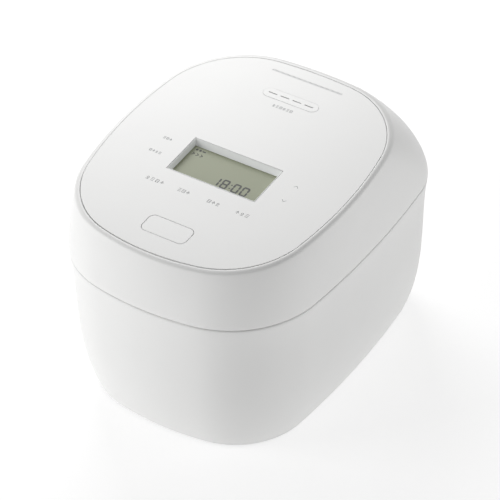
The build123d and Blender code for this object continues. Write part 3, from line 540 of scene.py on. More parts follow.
@dataclass(frozen=True)
class Shape:
    """Outer shape shared by the body and the lid, in millimetres, from the CAD's boxes.

    Attributes:
        tilt_deg: The panel's tilt about X.
        rim_width: Width of the rim round the panel.
        rim_drop: How far the rim lies under the panel's top face.
        lid_curve: Power by which the lid's outline mixes from the body's to the rim's.
        case_insets: Shares of the case's height and its wall's inset there.
        front_share: Share of the body's depth in front of its widest line.
        body_arcs: Radii of the body's outline, in the order of Outline.
        panel_margin: How much narrower, and shorter in front and behind, the panel is.
        panel_arcs: Radii of the panel's outline, in the order of Outline.
    """

    tilt_deg: float = 5.6
    rim_width: float = 4.4
    rim_drop: float = 0.2
    lid_curve: float = 1.4
    case_insets: tuple[tuple[float, float], ...] = (
        (0.0, 18.2),
        (0.25, 8.0),
        (0.55, 4.0),
        (1.0, 0.0),
    )
    front_share: float = 0.43978
    body_arcs: tuple[float, ...] = (861.3, 259.7, 276.6, 84.6, 66.4)
    panel_margin: tuple[float, float, float] = (16.6, 12.3, 55.8)
    panel_arcs: tuple[float, ...] = (347.1, 215.8, 405.3, 74.9, 78.1)

    def box_mm(self, node: str) -> tuple[Array, Array]:
        """Return a CAD node's lowest and highest corners in millimetres."""
        low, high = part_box(node)
        return np.array(low) / MM, np.array(high) / MM

    @property
    def case_low(self) -> float:
        """Height of the case's bottom edge."""
        return float(self.box_mm("outer_case")[0][2])

    @property
    def case_high(self) -> float:
        """Height of the case's top edge."""
        return float(self.box_mm("outer_case")[1][2])

    @property
    def lid_low(self) -> float:
        """Height of the lid's bottom edge."""
        return float(self.box_mm("lid_shell")[0][2])

    @property
    def panel_high(self) -> float:
        """Height of the panel's top face at y = 0."""
        low, high = self.box_mm("lid_panel")
        return float(high[2] - high[1] * math.tan(math.radians(self.tilt_deg)))

    @property
    def body(self) -> Outline:
        """Outline where the body meets the lid.

        Returns:
            The outline, as wide and deep as the CAD's outer case.
        """
        low, high = self.box_mm("outer_case")
        width, depth = (high - low)[:2]
        front = depth * self.front_share
        return Outline(width, front, depth - front, *self.body_arcs)

    @property
    def widest_y(self) -> float:
        """Where the body is widest, along Y."""
        return float(self.box_mm("outer_case")[0][1] + self.body.front)

    @property
    def panel(self) -> Outline:
        """Outline of the top panel.

        Returns:
            The body's outline less the panel's margins.
        """
        b, (sides, front, back) = self.body, self.panel_margin
        return Outline(b.width - sides, b.front - front, b.back - back, *self.panel_arcs)

    @property
    def rim(self) -> Outline:
        """Outer outline of the rim round the panel.

        Returns:
            The panel's outline with each arc and reach grown by the rim's width.
        """
        p, r = self.panel, self.rim_width
        rest = list(p.__dataclass_fields__)[1:]
        return Outline(p.width + 2 * r, *(getattr(p, name) + r for name in rest))

    def case_inset(self, share: Array) -> Array:
        """Inward offset of the case's wall, a cubic through the known insets.

        Args:
            share: Shares of the case's height.

        Returns:
            The offset at each share, in millimetres.
        """
        known = np.array(self.case_insets)
        return np.polyval(np.polyfit(known[:, 0], known[:, 1], 3), share)

    def lid_ring(self, share: float, inset: float, drop: float = 0.0, steps: int = 24) -> Array:
        """Return one loop of points round the lid.

        The outline mixes from the body's to the rim's by share to the power lid_curve, and
        its plane turns from level to the panel's tilt.

        Args:
            share: Zero at the lid's bottom edge, one at its rim.
            inset: Distance inward from the outer skin.
            drop: Distance down from the section's plane.
            steps: Points on each arc.

        Returns:
            N x 3 points in millimetres.
        """
        outline = self.body.blend(self.rim, share**self.lid_curve)
        points, normals = outline.loop(steps)
        flat = points - inset * normals
        rise = share * math.tan(math.radians(self.tilt_deg))
        high = self.lid_low + share * (self.panel_high - self.rim_drop - self.lid_low)
        y = flat[:, 1] + self.widest_y
        return np.column_stack([flat[:, 0], y, high + rise * y - drop])

    def panel_box(self, node: str) -> tuple[Array, Array]:
        """Return a CAD node's box in panel coordinates: lowered, then turned level.

        Args:
            node: The node's name.

        Returns:
            Its low and high corners in millimetres.
        """
        mesh = frame["nodes"][node].data
        co = np.empty(len(mesh.vertices) * 3)
        mesh.vertices.foreach_get("co", co)
        x, y, z = (co.reshape(-1, 3) / MM).T
        a = math.radians(self.tilt_deg)
        z = z - self.panel_high
        level_y = y * math.cos(a) + z * math.sin(a)
        turned = np.stack([x, level_y, z * math.cos(a) - y * math.sin(a)])
        return turned.min(axis=1), turned.max(axis=1)

    def on_panel(self, points: Array) -> Array:
        """Turn panel coordinates into row coordinates: tilted, then raised to the panel.

        Args:
            points: Points in millimetres, three numbers along the last axis.

        Returns:
            The points in metres.
        """
        a = math.radians(self.tilt_deg)
        x, y, z = points[..., 0], points[..., 1], points[..., 2]
        rows = [
            x,
            y * math.cos(a) - z * math.sin(a),
            self.panel_high + y * math.sin(a) + z * math.cos(a),
        ]
        return np.stack(rows, axis=-1) * MM


SHAPE = Shape()


# ------------------------------------------------------------------ body
@dataclass
class CookerBody:
    """The outer case below the split line."""

    wall: float = 2.6
    edge_round: float = 1.3
    foot_round: float = 1.6
    inlet_corner: float = 4.0
    inlet_gap: float = 0.15
    past: float = 30.0
    rows: int = 40
    shape: Shape = SHAPE

    def profile(self) -> Array:
        """Return the wall's profile as rows of inset and height.

        It runs up the outside along the smooth inset curve, over two small rounded edges,
        and down the inside at the wall's thickness.

        Returns:
            N x 2 rows of inset and height in millimetres.
        """
        low, high = self.shape.case_low, self.shape.case_high
        rise = high - low
        t = np.linspace(0, 1, self.rows)
        start, stop = self.foot_round / rise, 1 - self.edge_round / rise
        share = start + (stop - start) * t
        outside = np.column_stack([self.shape.case_inset(share), low + share * rise])
        turn = np.linspace(0, math.pi / 2, 6)
        r, f = self.edge_round, self.foot_round
        top_inset = self.shape.case_inset(np.array([stop]))[0]
        top = np.column_stack([top_inset + r - r * np.cos(turn), high - r + r * np.sin(turn)])
        foot_inset = self.shape.case_inset(np.array([start]))[0]
        foot = np.column_stack([foot_inset + f - f * np.sin(turn), low + f - f * np.cos(turn)])
        inside = outside[::-1] + np.array([self.wall, 0.0])
        inside[0, 1], inside[-1, 1] = high, low
        return np.concatenate([foot[:-1], outside, top[1:], inside])

    def build(self) -> None:
        """Make the case, with the opening for the power inlet cut in its back."""
        points, normals = self.shape.body.loop(28)
        points[:, 1] += self.shape.widest_y
        profile = self.profile()
        flat = points[None] - profile[:, :1, None] * normals[None]
        high = np.broadcast_to(profile[:, 1, None, None], (*flat.shape[:2], 1))
        mesh = grid_mesh("case_skin", np.concatenate([flat, high], axis=2) * MM, True, True)
        tidy_mesh(mesh)
        piece = place_piece("case_skin", mesh, Body.BASE, CASE_ABS, 60)
        self.cut_inlet(piece)
        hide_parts("outer_case")

    def cut_inlet(self, piece: bpy.types.Object) -> None:
        """Cut the power inlet's rounded rectangle through the back wall.

        Args:
            piece: The case.
        """
        low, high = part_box("power_inlet")
        gap = self.inlet_gap * MM
        start, stop = np.array([low.x - gap, low.z - gap]), np.array([high.x + gap, high.z + gap])
        outline = rounded_rectangle(start, stop, self.inlet_corner * MM + gap, 12)
        apply_boolean(piece, prism("inlet_cutter", outline, 1, low.y, high.y + self.past * MM))


def apply_boolean(piece: bpy.types.Object, cutter: bpy.types.Object) -> None:
    """Cut one object out of another and keep the result in the piece's own mesh.

    Args:
        piece: The object that is cut.
        cutter: The object that cuts it, which is removed afterwards.
    """
    modifier = piece.modifiers.new("cut", "BOOLEAN")
    modifier.object = cutter
    modifier.operation = "DIFFERENCE"
    modifier.solver = "EXACT"
    bpy.context.view_layer.update()
    result = piece.evaluated_get(bpy.context.evaluated_depsgraph_get())
    mesh = bpy.data.meshes.new_from_object(result)
    piece.modifiers.clear()
    piece.data = mesh
    bpy.data.objects.remove(cutter)


# ------------------------------------------------------------------ lid
@dataclass
class LidShell:
    """The lid's wall, with a soft shoulder, a thin rim and the seat of the top panel."""

    wall: float = 2.8
    shoulder: float = 3.0
    edge_round: float = 0.9
    channel_radius: float = 6.6
    channel_gap: float = 0.5
    lip_round: float = 0.35
    seat_depth: float = 2.4
    seat_gap: float = 0.2
    seat_width: float = 3.0
    roof: float = 2.0
    roof_share: float = 0.93
    rows: int = 34
    shape: Shape = SHAPE

    def build(self) -> None:
        """Make the lid's shell and cut its flat back and the room for the hinge.

        Its rings run up the outside, from the rounded lower edge over the shoulder and the
        lip into the panel's seat, and down the inside at the wall's thickness. A rounded
        edge moves in by r - r cos and along by r - r sin.
        """
        shape = self.shape
        edge, r, lip = self.edge_round, self.shoulder, self.lip_round
        rise = shape.panel_high - shape.rim_drop - shape.lid_low
        inner = shape.rim_width - self.seat_gap
        seat = inner + self.seat_width
        rings = []
        for turn in np.linspace(math.pi / 2, 0, 5):
            share = edge / rise * (1 - math.sin(turn))
            rings.append(shape.lid_ring(share, edge - edge * math.cos(turn)))
        shares = np.linspace(edge / rise, 1 - r / rise, self.rows)
        rings += [shape.lid_ring(share, 0.0) for share in shares[1:]]
        for turn in np.linspace(0, math.pi / 2, 9)[1:]:
            share = 1 - r / rise * (1 - math.sin(turn))
            rings.append(shape.lid_ring(share, r - r * math.cos(turn)))
        for turn in np.linspace(0, math.pi / 2, 4):
            inset = inner - lip + lip * math.sin(turn)
            rings.append(shape.lid_ring(1.0, inset, lip - lip * math.cos(turn)))
        rings.append(shape.lid_ring(1.0, inner, self.seat_depth))
        rings.append(shape.lid_ring(1.0, seat, self.seat_depth))
        outer_count = len(rings)
        rings.append(shape.lid_ring(1.0, seat, self.seat_depth + self.roof))
        rings.append(shape.lid_ring(self.roof_share, self.wall))
        rings += [shape.lid_ring(share, self.wall) for share in shares[::-3][1:]]
        rings.append(shape.lid_ring(0.0, self.wall))
        points = np.stack(rings)
        inner_back = shape.box_mm("lid_shell")[1][1] - self.wall
        points[outer_count:, :, 1] = np.minimum(points[outer_count:, :, 1], inner_back)
        mesh = grid_mesh("lid_shell_skin", points * MM, True, True)
        tidy_mesh(mesh)
        self.flatten_back(mesh)
        piece = place_piece("lid_shell_skin", mesh, Body.LID, LID_ABS, 50)
        self.cut_hinge_room(piece)
        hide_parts("lid_shell")

    def flatten_back(self, mesh: bpy.types.Mesh) -> None:
        """Press all that lies behind the CAD shell's back onto its flat back face.

        Args:
            mesh: The lid's mesh, which is cut there first, so that the edge is straight.
        """
        back = float(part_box("lid_shell")[1].y)
        work = bmesh.new()
        work.from_mesh(mesh)
        geometry = work.verts[:] + work.edges[:] + work.faces[:]
        plane = {"plane_co": (0, back, 0), "plane_no": (0, 1, 0)}
        bmesh.ops.bisect_plane(work, geom=geometry, dist=MM * MM, **plane)
        work.to_mesh(mesh)
        work.free()
        co = np.empty(len(mesh.vertices) * 3)
        mesh.vertices.foreach_get("co", co)
        co = co.reshape(-1, 3)
        co[:, 1] = np.minimum(co[:, 1], back)
        mesh.vertices.foreach_set("co", co.ravel())
        tidy_mesh(mesh)

    def cut_hinge_room(self, piece: bpy.types.Object) -> None:
        """Cut a round channel for the hinge barrel out of the shell's back.

        Args:
            piece: The lid's shell.
        """
        low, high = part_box("hinge_pin")
        centre = np.array([low.y + high.y, low.z + high.z]) / 2
        turn = np.linspace(0, 2 * math.pi, 64, endpoint=False)
        ring = centre + self.channel_radius * MM * np.column_stack([np.cos(turn), np.sin(turn)])
        gap = self.channel_gap * MM
        apply_boolean(piece, prism("hinge_cutter", ring, 0, low.x - gap, high.x + gap))


@dataclass
class CopiedNode:
    """A CAD node whose shape is right, taken over with softened edges."""

    node: str
    body: Body
    slot: str
    finish: Finish
    edge_mm: float = 0.3
    merge_mm: float = 0.001
    flat_deg: float = 0.5
    sharp_deg: float = 35.0

    def build(self) -> bpy.types.Object:
        """Copy the node's mesh, merge its flat faces and bevel its edges.

        Returns:
            The piece.
        """
        mesh = frame["nodes"][self.node].data.copy()
        work = bmesh.new()
        work.from_mesh(mesh)
        bmesh.ops.remove_doubles(work, verts=work.verts, dist=self.merge_mm * MM)
        flat = math.radians(self.flat_deg)
        bmesh.ops.dissolve_limit(work, angle_limit=flat, verts=work.verts, edges=work.edges)
        work.to_mesh(mesh)
        work.free()
        name = f"{self.node}_skin"
        piece = place_piece(name, mesh, self.body, self.finish, self.sharp_deg)
        bevel = piece.modifiers.new("soft_edge", "BEVEL")
        bevel.width = self.edge_mm * MM
        bevel.segments = 3
        bevel.limit_method = "ANGLE"
        bevel.angle_limit = math.radians(self.sharp_deg)
        bevel.harden_normals = True
        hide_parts(self.node)
        return piece


@dataclass
class SensorSpring:
    """The coil spring under the pot sensor, which shortens as the sensor is pressed; here it is
    built at one length.
    """

    wire_radius: float = 0.5
    turns: int = 4
    steps: int = 192
    sides: int = 12
    travel: float = 2.0

    def build(self) -> None:
        """Make the spring: a circle carried along a helix, square to the helix's tangent."""
        low, high = (np.array(corner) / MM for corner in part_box("sensor_spring"))
        wire = self.wire_radius
        radius = (high[0] - low[0]) / 2 - wire
        height = high[2] - low[2] - 2 * wire
        turn = np.linspace(0, 2 * math.pi * self.turns, self.steps)[:, None]
        radial = np.concatenate([np.cos(turn), np.sin(turn), np.zeros_like(turn)], axis=1)
        climb = np.full_like(turn, height / (2 * math.pi * self.turns))
        tangent = np.concatenate([-radius * np.sin(turn), radius * np.cos(turn), climb], axis=1)
        tangent /= np.linalg.norm(tangent, axis=1, keepdims=True)
        across = np.cross(tangent, radial)
        centre = np.array([(low[0] + high[0]) / 2, (low[1] + high[1]) / 2, low[2] + wire])
        path = centre + radius * radial
        path[:, 2:] += climb * turn
        ring = np.linspace(0, 2 * math.pi, self.sides, endpoint=False)[None, :, None]
        round_wire = np.cos(ring) * radial[:, None] + np.sin(ring) * across[:, None]
        tube = path[:, None] + wire * round_wire
        mesh = grid_mesh("sensor_coil", tube * MM, capped=True)
        spring = place_piece("sensor_coil", mesh, Body.BASE, ZINC_STEEL)
        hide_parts("sensor_spring")
        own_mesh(spring)


# ------------------------------------------------------------------ marks
def flat_shape(
    outline: Array, thickness: float, lift: float, first: int = 0
) -> tuple[Array, list[list[int]]]:
    """Give a flat outline a small thickness.

    Args:
        outline: N x 2 points against the clock, in millimetres.
        thickness: Thickness in millimetres.
        lift: Height of its underside above the surface.
        first: Number of its first point.

    Returns:
        The 2N x 3 points and the faces: top, bottom and sides.
    """
    n = len(outline)
    low = np.column_stack([outline, np.full(n, lift)])
    high = np.column_stack([outline, np.full(n, lift + thickness)])
    index = first + np.arange(n)
    after = np.roll(index, -1)
    sides = np.stack([index, after, after + n, index + n], axis=1).tolist()
    return np.concatenate([low, high]), [index[::-1].tolist(), (index + n).tolist(), *sides]


def stroke(points: Array | list[tuple[float, float]], width: float) -> list[Array]:
    """Turn a polyline into one rounded bar outline for each of its runs.

    Args:
        points: The line's points in millimetres.
        width: The line's width.

    Returns:
        One N x 2 outline per run, a rectangle with half-round ends.
    """
    bars = []
    turn = np.linspace(-math.pi / 2, math.pi / 2, 7)
    for start, end in zip(points[:-1], points[1:]):
        a, b = np.array(start), np.array(end)
        along = (b - a) / np.linalg.norm(b - a)
        side = np.array([-along[1], along[0]])
        cap = np.outer(np.cos(turn), along) + np.outer(np.sin(turn), side)
        bars.append(np.concatenate([b + cap * width / 2, a - cap * width / 2]))
    return bars


def disc(centre: tuple[float, float], radius: float, count: int = 14) -> Array:
    """Return a round outline of count points about a centre."""
    turn = np.linspace(0, 2 * math.pi, count, endpoint=False)
    return np.array(centre) + radius * np.column_stack([np.cos(turn), np.sin(turn)])


@dataclass
class Marks:
    """Thin printed or switched marks that lie on a plane parallel to the panel."""

    name: str
    slot: str
    finish: Finish
    level: float
    thickness: float = 0.03
    outlines: list[Array] = field(default_factory=list)

    def build(self) -> None:
        """Join every outline into one mesh just above the surface."""
        vertices, faces, first = [], [], 0
        for outline in self.outlines:
            points, sides = flat_shape(outline, self.thickness, self.level, first)
            first += len(points)
            vertices.append(points)
            faces += sides
        mesh = bpy.data.meshes.new(self.name)
        placed = SHAPE.on_panel(np.concatenate(vertices))
        mesh.from_pydata(placed.tolist(), [], faces)
        place_piece(self.name, mesh, Body.LID, self.finish, 30)


@dataclass
class ClockDigits:
    """Slightly slanted seven-segment digits of the clock, with a colon."""

    height: float = 11.2
    width: float = 6.8
    bar: float = 1.7
    tip: float = 0.2
    slant: float = -0.02
    gap: float = 0.05
    spacing: float = 1.7
    dot: float = 0.75
    colon: float = 2.6
    dot_heights: tuple[float, float] = (0.3, 0.68)

    SEGMENTS: ClassVar[dict[str, str]] = {"0": "abcdef", "1": "bc", "8": "abcdefg"}

    def segment(self, letter: str) -> Array:
        """Return one six-sided segment outline, placed in the digit's own box.

        Args:
            letter: The segment's usual letter, a to g.

        Returns:
            6 x 2 points against the clock.
        """
        w, h, b, g = self.width, self.height / 2, self.bar, self.gap
        cut, tip = b / 2, self.tip * b + g
        start, stop = tip, w - tip
        low, high = tip, h - tip
        across = [(start, 0), (start + cut, -cut), (stop - cut, -cut)]
        across += [(stop, 0), (stop - cut, cut), (start + cut, cut)]
        upright = [(0, low), (cut, low + cut), (cut, high - cut)]
        upright += [(0, high), (-cut, high - cut), (-cut, low + cut)]
        places = {
            "a": (across, (0, 2 * h - cut)),
            "g": (across, (0, h)),
            "d": (across, (0, cut)),
            "f": (upright, (cut, h - cut / 2)),
            "e": (upright, (cut, cut / 2)),
            "b": (upright, (w - cut, h - cut / 2)),
            "c": (upright, (w - cut, cut / 2)),
        }
        shape, move = places[letter]
        return np.array(shape, dtype=float) + np.array(move)

    def outlines(self, text: str, origin: tuple[float, float]) -> list[Array]:
        """Return the outlines of a time, each point moved right by slant times its height.

        Args:
            text: The time, such as 18:00.
            origin: Lower left corner in panel coordinates.

        Returns:
            One outline for each lit segment and dot.
        """
        shapes, x = [], 0.0
        for letter in text:
            if letter == ":":
                heights = (self.height * share for share in self.dot_heights)
                shapes += [disc((x + self.dot, y), self.dot) for y in heights]
                x += self.colon
                continue
            shapes += [self.segment(s) + [x, 0] for s in self.SEGMENTS[letter]]
            x += self.width + self.spacing
        lean = np.array([[1.0, 0.0], [self.slant, 1.0]])
        return [shape @ lean + np.array(origin) for shape in shapes]


@dataclass
class DisplaySigns:
    """The display's small signs in its rear left corner: two discs, a dash and arrows."""

    margin: tuple[float, float] = (3.4, 2.6)
    row_y: float = -1.2
    discs: tuple[float, float] = (0.9, 4.3)
    disc_radius: float = 1.2
    dash: tuple[float, float] = (6.9, 9.2)
    dash_width: float = 1.3
    arrow: tuple[tuple[float, float], ...] = ((0.0, -5.2), (1.8, -6.6), (0.0, -8.0))
    arrow_count: int = 3
    arrow_pitch: float = 4.0
    arrow_width: float = 0.75

    def outlines(self, left: float, back: float) -> list[Array]:
        """Return the signs' outlines, each placed from the corner that the margin leaves.

        Args:
            left: The cell's left edge in panel coordinates.
            back: The cell's back edge.

        Returns:
            One outline for each disc and each run of a stroke.
        """
        corner = np.array([left + self.margin[0], back - self.margin[1]])
        shapes = [disc(corner + [x, self.row_y], self.disc_radius) for x in self.discs]
        shapes += stroke([corner + [x, self.row_y] for x in self.dash], self.dash_width)
        for k in range(self.arrow_count):
            place = corner + [k * self.arrow_pitch, 0]
            shapes += stroke(np.array(self.arrow) + place, self.arrow_width)
        return shapes


@dataclass
class DisplayWindow:
    """The display's sunken tray, its liquid crystal cell and what the cell shows.

    The tray's wall runs from the panel's opening down to the cell, steep at the sides and
    shallow in front, so its four insets differ.
    """

    depth: float = 5.0
    gap: float = 0.5
    lip: float = 0.95
    lip_drop: float = 0.35
    lip_top: float = 0.2
    lip_outer: float = 0.15
    lip_inner: float = 0.12
    inset_left: float = 2.1
    inset_right: float = 2.0
    inset_back: float = 4.0
    inset_front: float = 4.4
    tray_wall: float = 2.6
    wall_steps: int = 6
    opening_corner: float = 1.6
    cell_corner: float = 0.5
    cell_thickness: float = 1.2
    cell_round: float = 0.15
    cell_edge: float = 1.5
    edge_line: float = 0.15
    segment_lift: float = 0.01
    clock_left: float = -4.6
    clock_rise: float = 0.7
    shape: Shape = SHAPE

    def opening(self) -> tuple[Array, Array]:
        """Return the low and high corners of the panel's opening in panel coordinates.

        The CAD's tray is wider than the opening by its own wall all round.

        Returns:
            The two corners in millimetres.
        """
        low, high = self.shape.panel_box("window_frame")
        return low[:2] + self.tray_wall, high[:2] - self.tray_wall

    def rounded(self, low: Array, high: Array, corner: float, z: float) -> Array:
        """Return a rounded rectangle at a height above the panel's top face."""
        outline = rounded_rectangle(low, high, corner)
        return np.column_stack([outline, np.full(len(outline), z)])

    def cell_box(self) -> tuple[Array, Array]:
        """Return the visible cell's corners, the opening's less the four insets.

        Returns:
            The low and high corners in panel coordinates.
        """
        low, high = self.opening()
        start = low + np.array([self.inset_left, self.inset_front])
        return start, high - np.array([self.inset_right, self.inset_back])

    def build_tray(self) -> None:
        """Make the tray: rings that run up outside, over its lip and down the sloping wall.

        The wall mixes the lip's ring with the foot's by equal shares.
        """
        low, high = self.opening()
        cell_low, cell_high = self.cell_box()
        c = self.opening_corner - self.gap
        g, e = self.gap, self.lip
        drop, crest = -self.lip_drop, -self.lip_top
        o, i = self.lip_outer, self.lip_inner
        bottom = -self.depth - self.cell_thickness
        lip = [
            self.rounded(low + g, high - g, c, bottom),
            self.rounded(low + g, high - g, c, drop),
            self.rounded(low + g + o, high - g - o, c, crest),
            self.rounded(low + e, high - e, c, crest),
            self.rounded(low + e + i, high - e - i, c, drop),
        ]
        foot = self.rounded(cell_low, cell_high, self.cell_corner, -self.depth + self.edge_line)
        under = self.rounded(cell_low, cell_high, self.cell_corner, bottom)
        share = np.linspace(0, 1, self.wall_steps)[1:-1, None, None]
        wall = lip[-1][None] * (1 - share) + foot[None] * share
        rings = np.concatenate([np.stack(lip), wall, np.stack([foot, under])])
        mesh = tidy_mesh(grid_mesh("display_tray", self.shape.on_panel(rings), True, True))
        tray = place_piece("display_tray", mesh, Body.LID, TRAY_ABS, 30)
        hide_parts("window_frame")

    def build_cell(self) -> None:
        """Make the cell: a slab with softened edges that the tray stands on."""
        low, high = self.cell_box()
        c, top, r, e = self.cell_corner, -self.depth, self.cell_round, self.cell_edge
        rings = [
            self.rounded(low, high, c, top - self.cell_thickness),
            self.rounded(low, high, c, top - r),
            self.rounded(low + r, high - r, c, top),
            self.rounded(low + e, high - e, c, top),
        ]
        mesh = grid_mesh("display_cell", self.shape.on_panel(np.stack(rings)), capped=True)
        cell = place_piece("display_cell", mesh, Body.LID, DISPLAY, 30)
        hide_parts("display_glass")

    def build_clock(self) -> None:
        """Make the dark segments that the cell shows: the time and the small signs."""
        low, high = self.cell_box()
        clock = Marks("clock_digits", "display", SEGMENT_INK, self.segment_lift - self.depth)
        origin = (self.clock_left, float(low[1]) + self.clock_rise)
        clock.outlines = ClockDigits().outlines("18:00", origin)
        clock.outlines += DisplaySigns().outlines(float(low[0]), float(high[1]))
        clock.build()

    def build(self) -> None:
        """Make the tray, the cell and what it shows."""
        self.build_tray()
        self.build_cell()
        self.build_clock()


class Sign(Enum):
    """The four plain signs that the rows repeat in turn."""

    RING = 0
    BARS = 1
    BOX = 2
    ARROW = 3


@dataclass(frozen=True)
class SignRow:
    """A row of small generic signs in panel coordinates, in millimetres.

    Attributes:
        start: Its left end.
        stop: Its right end.
        y: Its middle height.
        size: Width and height of each sign.
        pitch: Wanted step from sign to sign, changed a little to fill the row.
        first: Number of its first sign.
        group: After how many signs the order skips one, or zero for never.
        line: Width of the strokes.
    """

    start: float
    stop: float
    y: float
    size: float
    pitch: float
    first: int = 0
    group: int = 0
    line: float = 0.42

    def tile(self, sign: Sign, x: float) -> list[Array]:
        """Return one sign, with its parts at fixed shares of its size.

        Args:
            sign: Which of the four signs.
            x: Its left edge.

        Returns:
            The sign's outlines.
        """
        size, y, half = self.size, self.y, self.size / 2
        centre = x + half
        left, right = x + 0.1 * size, x + 0.9 * size
        low, high = y - half, y + half
        if sign is Sign.RING:
            turn, radius = np.linspace(0, 2 * math.pi, 13), 0.3 * size
            ring = [centre + radius * np.cos(turn), y + 0.12 * size + radius * np.sin(turn)]
            runs = [np.column_stack(ring), [(left, low), (right, low)]]
        elif sign is Sign.BARS:
            runs = [[(left, place), (right, place)] for place in (low, y, high)]
        elif sign is Sign.BOX:
            box = [(left, low), (right, low), (right, high), (left, high), (left, low)]
            runs = [box, [(x + 0.3 * size, y), (x + 0.7 * size, y)]]
        else:
            arms = [(left, y - 0.2 * size), (centre, high), (right, y - 0.2 * size)]
            runs = [arms, [(centre, low), (centre, y + 0.1 * size)]]
        return [bar for run in runs for bar in stroke(run, self.line)]

    def outlines(self) -> list[Array]:
        """Return the whole row: as many signs as fit, at equal steps.

        Returns:
            The outlines of every sign.
        """
        count = max(int(round((self.stop - self.start) / self.pitch)), 2)
        step = (self.stop - self.start) / count
        shapes = []
        for k in range(count):
            skipped = k // self.group if self.group else 0
            sign = Sign((self.first + k + skipped) % len(Sign))
            shapes += self.tile(sign, self.start + k * step)
        return shapes


@dataclass
class PanelSigns:
    """Plain generic signs printed on the panel beside its touch keys."""

    front: tuple[SignRow, ...] = (
        SignRow(-52.4, -33.4, -74.3, 3.23, 4.4, 0),
        SignRow(-20.4, -7.8, -74.3, 3.23, 4.4, 1),
        SignRow(9.1, 21.9, -74.3, 3.23, 4.4, 2),
        SignRow(37.2, 51.3, -74.3, 3.23, 4.4, 3),
    )
    left: tuple[SignRow, ...] = (
        SignRow(-68.4, -59.1, -26.0, 2.3, 3.4, 1),
        SignRow(-70.0, -57.5, -44.4, 2.3, 3.4, 2),
    )
    outlet: tuple[SignRow, ...] = (SignRow(-10.0, 10.7, 52.8, 2.6, 3.25, 0, 3),)
    rear: tuple[SignRow, ...] = (SignRow(-36.0, 35.0, 92.4, 1.5, 1.875, 0, 3),)
    arrow_x: float = 64.4
    arrow_y: tuple[float, float] = (-25.0, -44.4)
    arrow: tuple[tuple[float, float], ...] = ((-1.9, -1.0), (0.0, 0.9), (1.9, -1.0))
    line: float = 0.42
    lift: float = 0.005

    def build(self) -> None:
        """Make every sign: each set of rows in its own ink, and the two arrows."""
        arrows = []
        for y, side in zip(self.arrow_y, (1, -1)):
            points = np.array(self.arrow) * [1, side] + [self.arrow_x, y]
            arrows += stroke(points, self.line)
        sets = (
            ("key_signs", PRINT_INK, self.front, []),
            ("side_signs", PALE_INK, self.left, arrows),
            ("outlet_signs", PALE_INK, self.outlet, []),
            ("rear_signs", FAINT_INK, self.rear, []),
        )
        for name, ink, rows, more in sets:
            marks = Marks(name, "panel_white", ink, self.lift)
            marks.outlines = [shape for row in rows for shape in row.outlines()] + more
            marks.build()


# ------------------------------------------------------------------ studio
@dataclass(frozen=True)
class SoftLight:
    """A square soft light.

    Attributes:
        name: Its name.
        place: Its place in metres.
        power: Its power in watts.
        size: Its side in metres.
    """

    name: str
    place: tuple[float, float, float]
    power: float
    size: float

    def build(self, aim: tuple[float, float, float]) -> None:
        """Add the light, turned from its place towards a point.

        Args:
            aim: The point that it faces, in metres.
        """
        data = bpy.data.lights.new(self.name, "AREA")
        data.energy = self.power
        data.size = self.size
        light = bpy.data.objects.new(self.name, data)
        bpy.context.scene.collection.objects.link(light)
        direction = Vector(aim) - Vector(self.place)
        light.rotation_euler = direction.to_track_quat("-Z", "Y").to_euler()
        light.location = self.place


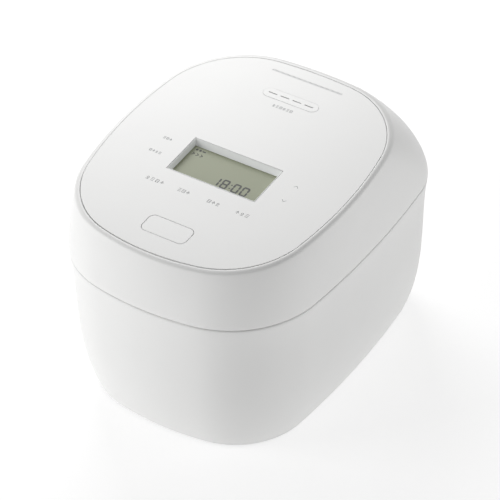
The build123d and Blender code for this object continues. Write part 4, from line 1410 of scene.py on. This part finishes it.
@dataclass
class Studio:
    """Floor, lights and camera."""

    azimuth: float = 34.7
    elevation: float = 38.3
    roll: float = -1.5
    distance_mm: float = 2670.0
    shift_mm: tuple[float, float] = (-10.1, -5.8)
    sensor_mm: float = 36.0
    lens_mm: float = 225.144
    far_m: float = 20.0
    target_mm: tuple[float, float, float] = (0.0, -19.35, 103.0)
    ambient: float = 0.27
    floor_half_m: float = 30.0
    aim_m: tuple[float, float, float] = (0.0, 0.0, 0.1)
    lights: tuple[SoftLight, ...] = (
        SoftLight("key_softbox", (-0.55, 0.55, 0.8), 6.5, 0.55),
        SoftLight("left_fill", (-1.0, -0.95, 0.5), 9.5, 0.7),
        SoftLight("right_fill", (1.25, 0.25, 0.7), 3.2, 0.9),
    )

    def camera(self) -> None:
        """Place the camera from its angles round the target, its distance and its roll."""
        az, el, roll = (math.radians(v) for v in (self.azimuth, self.elevation, self.roll))
        back = Vector((math.sin(az) * math.cos(el), -math.cos(az) * math.cos(el), math.sin(el)))
        right = Vector((math.cos(az), math.sin(az), 0.0))
        up = back.cross(right)
        turned_right = right * math.cos(roll) + up * math.sin(roll)
        turned_up = up * math.cos(roll) - right * math.sin(roll)
        data = bpy.data.cameras.new("camera")
        data.sensor_width = self.sensor_mm
        data.lens = self.lens_mm
        data.clip_end = self.far_m
        data.dof.use_dof = False
        camera = bpy.data.objects.new("camera", data)
        bpy.context.scene.collection.objects.link(camera)
        place = Vector(self.target_mm) + back * self.distance_mm
        place -= turned_right * self.shift_mm[0] + turned_up * self.shift_mm[1]
        matrix = Matrix((turned_right, turned_up, back)).transposed().to_4x4()
        matrix.translation = place * MM
        camera.matrix_world = matrix
        bpy.context.scene.camera = camera

    def build(self) -> None:
        """Make the floor, the world, the lights and the camera."""
        ends = np.array([-self.floor_half_m, self.floor_half_m])
        x, y = np.meshgrid(ends, ends)
        points = np.stack([x, y, np.zeros_like(x)], axis=-1)
        mesh = grid_mesh("floor", points, False, False)
        mesh.materials.append(FLOOR_ACRYLIC.build())
        floor = bpy.data.objects.new("floor", mesh)
        bpy.context.scene.collection.objects.link(floor)
        world = bpy.data.worlds.new("studio")
        bpy.context.scene.world = world
        world.use_nodes = True
        background = world.node_tree.nodes["Background"]
        background.inputs["Color"].default_value = (1.0, 1.0, 1.0, 1.0)
        background.inputs["Strength"].default_value = self.ambient
        for light in self.lights:
            light.build(self.aim_m)
        self.camera()
        scene = bpy.context.scene
        scene.view_settings.view_transform = "Standard"
        scene.view_settings.look = "None"


def dress_nodes() -> None:
    """Give every CAD node the finish of its material slot."""
    for part in frame["record"]["subparts"]:
        node = frame["nodes"][part["node"]]
        finish = SLOT_FINISHES[part["material_slot"]]
        for material_slot in node.material_slots:
            material_slot.material = finish.build()


def main() -> None:
    """Build every sub-assembly in order."""
    logging.basicConfig(level=logging.INFO, format="%(name)s: %(message)s")
    dress_nodes()
    CookerBody().build()
    LidShell().build()
    CopiedNode("lid_panel", Body.LID, "panel_white", PANEL_FILM, 0.25).build()
    SensorSpring().build()
    DisplayWindow().build()
    PanelSigns().build()
    Studio().build()


if __name__ == "__main__":
    main()
